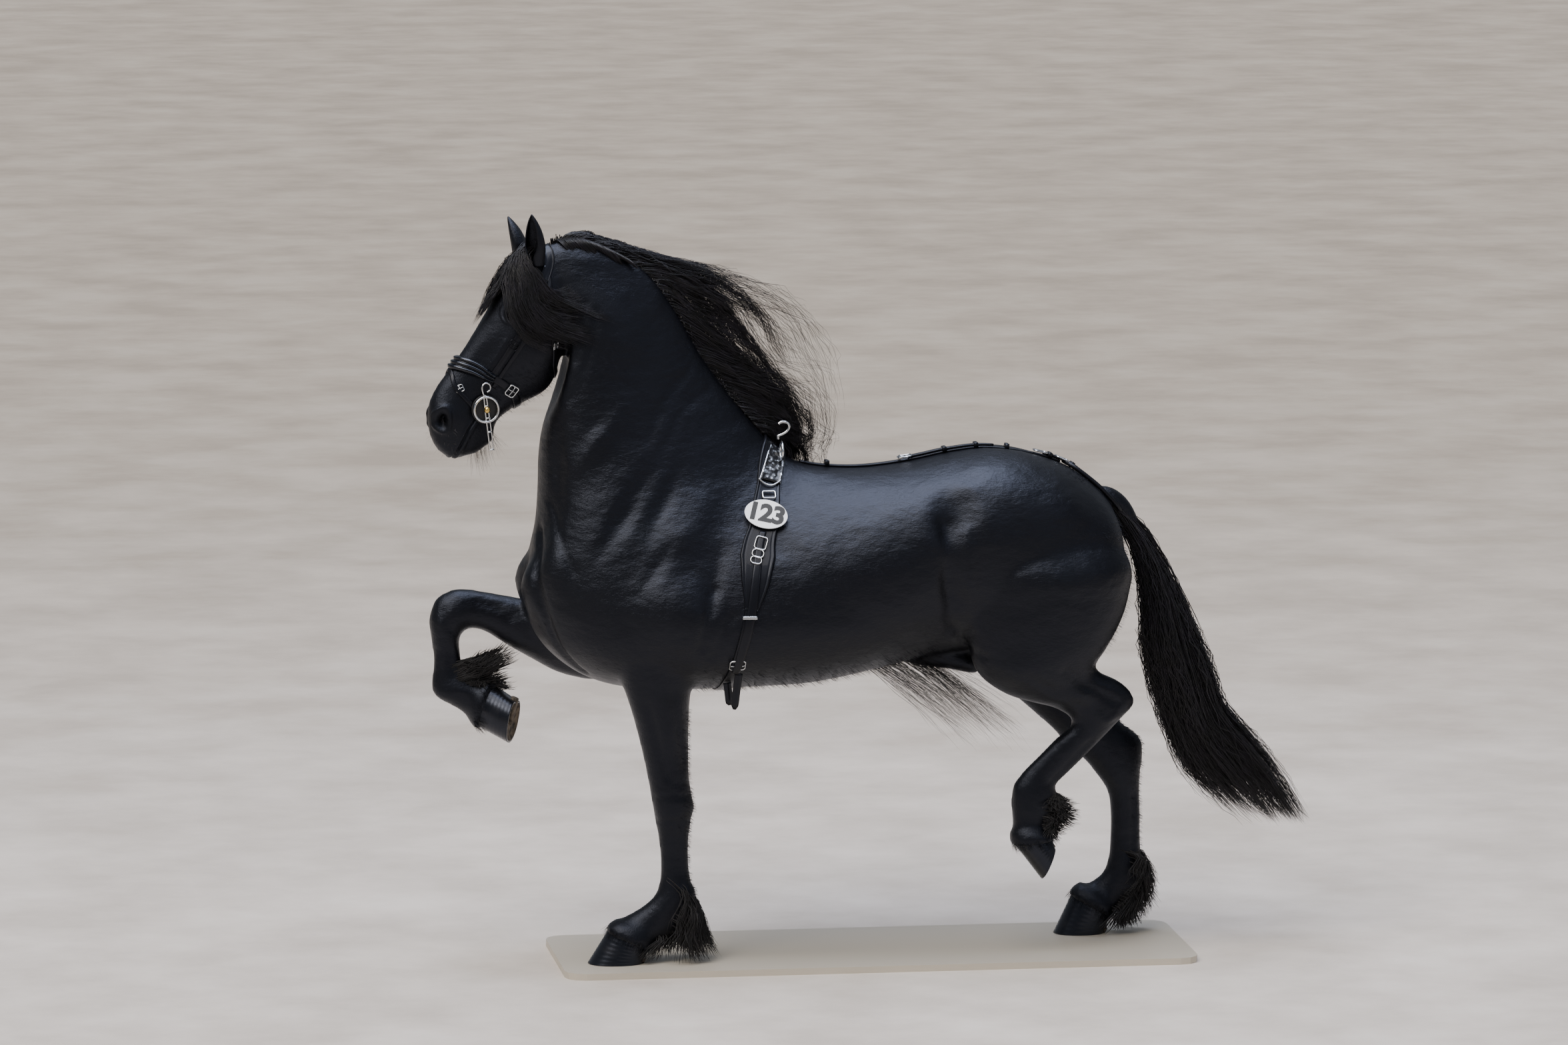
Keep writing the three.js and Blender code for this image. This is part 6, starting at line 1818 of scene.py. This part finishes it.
bit_pieces = []
turn = circle(48)
spine = along(SHANK, np.linspace(0, 1, 60))
run = unit(np.gradient(spine[:, :2], axis=0))
normal = np.stack([-run[:, 1], run[:, 0]], -1)
for side in (-1, 1):
    ring = in_bit(side, MOUTH_CORNER[0] + BIT_RING * np.cos(turn), MOUTH_CORNER[1] + BIT_RING * np.sin(turn))
    bit_pieces.append(wire("bit_ring", ring, 3.8 * MM, NICKEL, 12))
    for rail in (-1, 1):
        edge = spine[:, :2] + normal * (spine[:, 2:] / 2 - 2) * rail
        bit_pieces.append(wire("bit_rail", in_bit(side, *edge.T), 2.2 * MM, NICKEL, 8, False))
    for t in (0.02, 0.2, 0.41, 0.6, 0.78, 0.98):
        x, z, wide = along(SHANK, t)
        reach = normal[min(int(t * 59), 59)] * (wide / 2 - 1) * np.array([[-1], [0], [1]])
        bit_pieces.append(wire("bit_rung", in_bit(side, *(reach + [x, z]).T), 2.6 * MM, NICKEL, 8, False))
    curve = in_bit(side, *along(HOOK_LINE, np.linspace(0, 1, 36)).T, 2)
    bit_pieces.append(wire("bit_hook", curve, 2.4 * MM, NICKEL, 8, False))
mouthpiece = np.array([[MOUTH_CORNER[0], y, MOUTH_CORNER[1]] for y in np.linspace(-BIT_Y, BIT_Y, 12)])
bit_pieces.append(wire("bit_mouthpiece", from_head(mouthpiece), 6.5 * MM, NICKEL, 16, False))
fit(join(bit_pieces, "bit_metal"), "metal", "bit")
print("bit in the mouth")

# %% Knobs and guards of the bit
side_on = (Matrix([list(r) for r in HEAD_AXES]) @ Matrix.Rotation(math.pi / 2, 3, "X")).to_euler()
for side, name in SIDES:
    bpy.ops.mesh.primitive_uv_sphere_add(segments=24, ring_count=14, radius=9.5 * MM,
                                         location=in_bit(side, *MOUTH_CORNER, 7))
    knob = place(bpy.context.object)
    knob.name = "bit_brass_" + name
    bpy.ops.object.shade_smooth()
    knob.data.materials.append(BRASS)
    fit(knob, "brass", "bit_ball_" + name)
    bpy.ops.mesh.primitive_cylinder_add(vertices=48, radius=43 * MM, depth=4.5 * MM, rotation=side_on,
                                        location=in_bit(side, *MOUTH_CORNER, -9))
    guard = place(bpy.context.object)
    guard.name = "bit_rubber_" + name
    apply(guard, "BEVEL", width=0.0014, segments=3)
    bpy.ops.object.shade_smooth()
    guard.data.materials.append(RUBBER)
    fit(guard, "rubber", "bit_guard_" + name)
print("knobs and guards on")

# %% [markdown]
# ### Surcingle and crupper
# A padded pad over the withers, silver mounts on it, an oval number plate, billets with linked frames, a
# girth with a buckle on each side, a hook on top and a back strap to the crupper under the tail.

# %% Surcingle
PAD = [(-416, 1074), (-404, 1140), (-394, 1205), (-384, 1260), (-366, 1310), (-352, 1370), (-330, 1465)]
PAD_WIDTHS = [38, 80, 102, 84, 80, 66, 76, 84, 76, 66, 80, 84, 102, 80, 38]
GIRTH = [(-416, 1078), (-442, 956), (-472, 840)]
BILLET = [(-370, 1290), (-384, 1246), (-402, 1150), (-418, 1058), (-442, 956), (-458, 886)]
ribbon("surcingle_pad_leather", across_top(PAD, [-300, 0, 1530]), PAD_WIDTHS, 11, LEATHER, STITCHED,
       replaced=["surcingle_pad"])
ribbon("surcingle_girth_leather", across_top(GIRTH, [-480, 0, 790]), 34, 6.5, replaced=["surcingle_girth"])
for side, name in SIDES:
    ribbon("billet_" + name, laid(sight(BILLET, side)), [20, 24, 26, 26, 26, 22], 15, low=9)
    keeper_line = laid(sight([(-442, 1052), (-420, 1052), (-400, 1052)], side), 0.003)
    ribbon("keeper_" + name, keeper_line, 9, 17, NICKEL, FLAT, 5, "metal", ["surcingle_keeper_" + name])


def loose_end(name, start, way, length, wide):
    """The end of a strap that hangs free from its keeper, with a rounded tip."""
    steps = np.linspace(0, 1, 12)[:, None]
    path = start + way * length * steps + np.array([0, 0, -0.25]) * length * steps**2
    across = unit(np.cross(way, [0, 1.0, 0]))
    thick = np.cross(across, way)
    widths = wide / 2 * np.sqrt(np.clip(1 - ((steps - 0.86) / 0.15).clip(0, 1) ** 2, 0.02, 1))
    section = [(-1, -1), (1, -1), (1.03, 0), (1, 1), (-1, 1), (-1.03, 0)]
    grid = np.stack([path + across * a * widths + thick * 1.8 * MM * b for a, b in section], 1)
    piece = closed_tube(name, grid)
    piece.data.materials.append(LEATHER)
    fit(piece, "leather")


for side, name in SIDES:
    for number, (x, z, length, lean) in enumerate(((-446, 884, 92, -0.12), (-476, 852, 58, 0.18))):
        start, out = nearest([spot(x, z, side)])
        way = unit(np.array([lean, -side * 0.28, -1.0]))
        end_name = "girth_end_%s_%d" % (name, number + 1)
        loose_end(end_name, start[0] + out[0] * 9 * MM, way, length * MM, 23 * MM)
print("surcingle on")


# %% Silver mounts
# Cast and polished scrolls, about 12 mm across, stand up from a blackened ground.
EMBOSSED, place_of = patterned_material("embossed_silver_mount", Roughness=0.26, Coat_Weight=0.1)
scrolls = add_node(EMBOSSED, "TexVoronoi", {"Scale": scale_of(11.8), "feature": "SMOOTH_F1"},
                   [(place_of, "Vector")])
for stops, socket in (([(0.14, "#b4bac2"), (0.34, "#0d0e12")], "Base Color"),
                      ([(0.2, "#ffffff"), (0.36, "#000000")], "Metallic")):
    add_node(EMBOSSED, "ValToRGB", (), [(scrolls.outputs["Distance"], "Fac")], stops, socket)
add_node(EMBOSSED, "Bump", {"Strength": 0.9, "Distance": 0.003, "invert": True},
         [(scrolls.outputs["Distance"], "Height")], into="Normal")


def lifted_line(points, side, lift):
    """A smooth line at a height over the skin, in metres."""
    base, out = nearest(along(sight(points, side), np.linspace(0, 1, 24)))
    return base + out * lift * MM


def mount(name, side):
    """An embossed plate on the pad, with a wire along each edge and a thicker one at its foot."""
    line = laid(sight([(-308, 1512), (-320, 1470), (-336, 1424)], side))
    ribbon("mount_" + name, line, [50, 58, 62], 15.5, EMBOSSED, PIPED, 9, "metal",
           ["surcingle_plate_" + name])
    trims = []
    for shift in (-30, 30):
        edge = [(-309 + shift * 0.9, 1508), (-322 + shift, 1468), (-338 + shift * 1.05, 1428)]
        trims.append(wire("mount_trim", lifted_line(edge, side, 13), 1.8 * MM, NICKEL, 8, False))
    foot = [(-372, 1432), (-352, 1416), (-330, 1412), (-306, 1422)]
    trims.append(wire("mount_foot", lifted_line(foot, side, 15.5), 2.6 * MM, NICKEL, 8, False))
    fit(join(trims, "mount_trim_" + name), "metal")


print("embossed silver ready")

# %% Links and terrets
# How far down each link lies from the billet's buckle, its width, its height and its corner.
LINKS = ((-18, 34, 40, 8), (16, 34, 26, 12), (38, 32, 22, 10))


def chain(name):
    """Three linked frames that lie one under the other on the billet."""
    centre = pose_of("buckle_billet_" + name)[0]
    out = nearest([centre])[1][0]
    strap_way = np.array([-0.25, 0, -1.0])
    down = unit(strap_way - out * (out @ strap_way))
    made = []
    for drop, wide, high, corner in LINKS:
        at, way = nearest([centre + down * drop * MM])
        outline = rounded(wide * MM, high * MM, corner * MM)
        lifted = at[0] + way[0] * 16.5 * MM
        made.append(flat_wire("link", outline, lifted, (np.cross(out, down), down), 1.9 * MM))
    fit(join(made, "billet_links_" + name), "metal", "buckle_billet_" + name)


def terret(name):
    """A ring that stands on the pad, as wide as its solid."""
    centre, axes, size = pose_of("terret_" + name)
    loop = np.stack([np.cos(circle(40)), np.sin(circle(40))], -1) * (size[0] + size[1]) / 4 * 0.93
    fit(flat_wire("terret_%s_wire" % name, loop, centre, axes, 3.8 * MM), "metal", "terret_" + name)


for side, name in SIDES:
    mount(name, side)
    chain(name)
    terret(name)
print("mounts, links and terrets on")

# %% Number plate
PLATE_AT = (-358, 1333)
PLATE_HALF = (64, 47)
PLATE_TILT = math.radians(-14)
plate_spot = spot(*PLATE_AT, -1)
plate_out = unit(nearest([plate_spot])[1][0] + [0, 0, -0.05])
plate_up = unit(np.array([0, 0, 1.0]) - plate_out * plate_out[2])
plate_axes = Matrix([list(r) for r in np.array([np.cross(plate_up, plate_out), plate_up, plate_out]).T])
plate_turn = (plate_axes @ Matrix.Rotation(PLATE_TILT, 3, "Z")).to_euler()
plate_centre = plate_spot + plate_out * 21 * MM
bpy.ops.mesh.primitive_cylinder_add(vertices=64, radius=PLATE_HALF[0] * MM, depth=2.4 * MM)
oval = bpy.context.object
oval.scale = (1, PLATE_HALF[1] / PLATE_HALF[0], 1)
place(oval)
oval.rotation_euler = plate_turn
oval.location = plate_centre
place(oval)
oval.name = "number_plate_enamel"
apply(oval, "BEVEL", width=0.0006, segments=2)
oval.data.materials.append(ENAMEL)
fit(oval, "plate_white", "number_plate")
bpy.ops.object.text_add(rotation=plate_turn, location=plate_centre + plate_out * 1.25 * MM)
digits = bpy.context.object
digits.data.body = "123"
digits.data.align_x = "CENTER"
digits.data.align_y = "CENTER"
digits.data.size = 78 * MM
digits.data.space_character = 0.96
digits.data.extrude = 0.4 * MM
digits.data.offset = 3.4 * MM
bpy.ops.object.convert(target="MESH")
digits = place(bpy.context.object)
digits.name = "plate_digits"
digits.data.materials.clear()
digits.data.materials.append(PAINT)
fit(digits, "plate_white")
print("number plate on")

# %% Hook
# From its foot up and round, in millimetres from the pad.
HOOK = [(-294, -10), (-294, 0), (-282, 5), (-268, 14), (-261, 27), (-267, 39), (-284, 42), (-293, 36)]
hook_base = (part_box("surcingle_hook")[0].z - ON_BASE[2]) / MM + 14
hook_path = along([(x, 0, z + hook_base) for x, z in HOOK], np.linspace(0, 1, 44))
hook = wire("surcingle_hook_wire", from_horse(hook_path), 4.6 * MM, NICKEL, 12, False)
fit(hook, "metal", "surcingle_hook")
print("hook on")


# %% Back strap
def on_top(x, y=0.0):
    """The skin's point straight below a place over the back, in metres."""
    return np.array(skin_tree.ray_cast(Vector(from_horse([x, y, 2600])), Vector((0, 0, -1)))[0])


def down_back(low, high, count, gap):
    """A line along the middle of the back."""
    return laid(np.array([on_top(x) for x in np.linspace(low, high, count)]), gap)


ribbon("crupper_back_strap", down_back(-232, 552, 14, 0.012), 25, 7, replaced=["crupper_strap"])
ribbon("back_strap_end", down_back(96, 352, 8, 0.01), [22, 22, 22, 16], 15, low=7.5)
ribbon("rump_strap_end", down_back(500, 600, 5, 0.01), [22, 22, 22, 16], 15, low=7.5)
for x in (-150, 206, 300, 392, 520, 585):
    cross = laid(np.array([on_top(x, y) for y in (-15, 0, 15)]), 0.003)
    ribbon("back_keeper_%d" % (x + 1000), cross, 13, 19, low=1)
for x in (88, 492, 556):
    at, out = nearest([on_top(x)])
    level = np.array([0, 1.0, 0])
    back_axes = (unit(np.cross(level, out[0])), level)
    outline = rounded(42 * MM, 36 * MM, 9 * MM)
    fit(flat_wire("back_buckle_%d" % x, outline, at[0] + out[0] * 14 * MM, back_axes, 2.3 * MM), "metal")
print("back strap on")

# %% Crupper
ON_RUMP = [(566, 0), (600, 26), (664, 44)]
UNDER_TAIL = [(716, 38, 1334), (738, 20, 1306), (744, 0, 1300), (738, -20, 1306), (716, -38, 1334)]
loop_points = [on_top(x, y) + [0, 0, 10 * MM] for x, y in ON_RUMP]
loop_points += [from_horse(point) for point in UNDER_TAIL]
loop_points += [on_top(x, -y) + [0, 0, 10 * MM] for x, y in ON_RUMP[:0:-1]] + [loop_points[0]]
loop_path = along(loop_points, np.linspace(0, 1, 90))[:-1]
fit(wire("crupper_tail_loop", loop_path, 7 * MM, LEATHER, 12), "leather", "crupper_loop")
print("crupper on")

# %% [markdown]
# ## The studio
# A flat floor in the colour of pale sand, wide enough that no edge shows. A soft sun from the upper
# left draws the face, neck and shoulder. A wide soft box overhead stands for the brighter sky there: a
# black glossy coat shows its back and croup by what it reflects from above.

# %% Floor
bpy.ops.mesh.primitive_plane_add(size=400)
floor = place(bpy.context.object)
floor.name = "floor"
# Raked sand, paler and darker in drifts of about 0.6 m.
SAND, place_of = patterned_material("pale_sand_floor", Roughness=0.9, Specular_IOR_Level=0.2)
drifts = add_node(SAND, "TexNoise", {"Scale": scale_of(588), "Detail": 8.0, "Roughness": 0.62},
                  [(place_of, "Vector")])
add_node(SAND, "ValToRGB", (), [(drifts.outputs["Fac"], "Fac")],
         [(0.35, "#b9b0a6"), (0.65, "#d0c8bf")], into="Base Color")
floor.data.materials.append(SAND)
print("floor laid")

# %% Sky and lights
world = bpy.data.worlds[0] if bpy.data.worlds else bpy.data.worlds.new("studio")
bpy.context.scene.world = world
world.use_nodes = True
sky = world.node_tree.nodes["Background"]
sky.inputs["Color"].default_value = linear("#dfe6f2")
sky.inputs["Strength"].default_value = 0.3
# Each light's place, its width in metres, its power and its colour.
LIGHTS = [
    ("sky", (0.0, 0.3, 7.5), 4.8, 620, "#dfe8ff"),
    ("key", (-5.0, -4.5, 7.0), 2.4, 160, "#fff6ea"),
    ("fill", (5.0, -7.0, 5.5), 2.5, 60, "#eef2ff"),
]
LIT_POINT = Vector((0, 0, 1.1))
for name, at, size, power, colour in LIGHTS:
    aim = (LIT_POINT - Vector(at)).to_track_quat("-Z", "Y").to_euler()
    bpy.ops.object.light_add(type="AREA", location=at, rotation=aim)
    lamp = bpy.context.object
    lamp.name = name
    lamp.data.size = size
    lamp.data.energy = power
    lamp.data.color = linear(colour)[:3]
SUN_FROM = Vector((-0.35, -0.4, 0.85))
aim = SUN_FROM.to_track_quat("Z", "Y").to_euler()
bpy.ops.object.light_add(type="SUN", location=SUN_FROM * 10, rotation=aim)
sun = bpy.context.object
sun.data.energy = 3.0
sun.data.angle = math.radians(50)
sun.data.color = linear("#fff8f0")[:3]
print("studio lit")
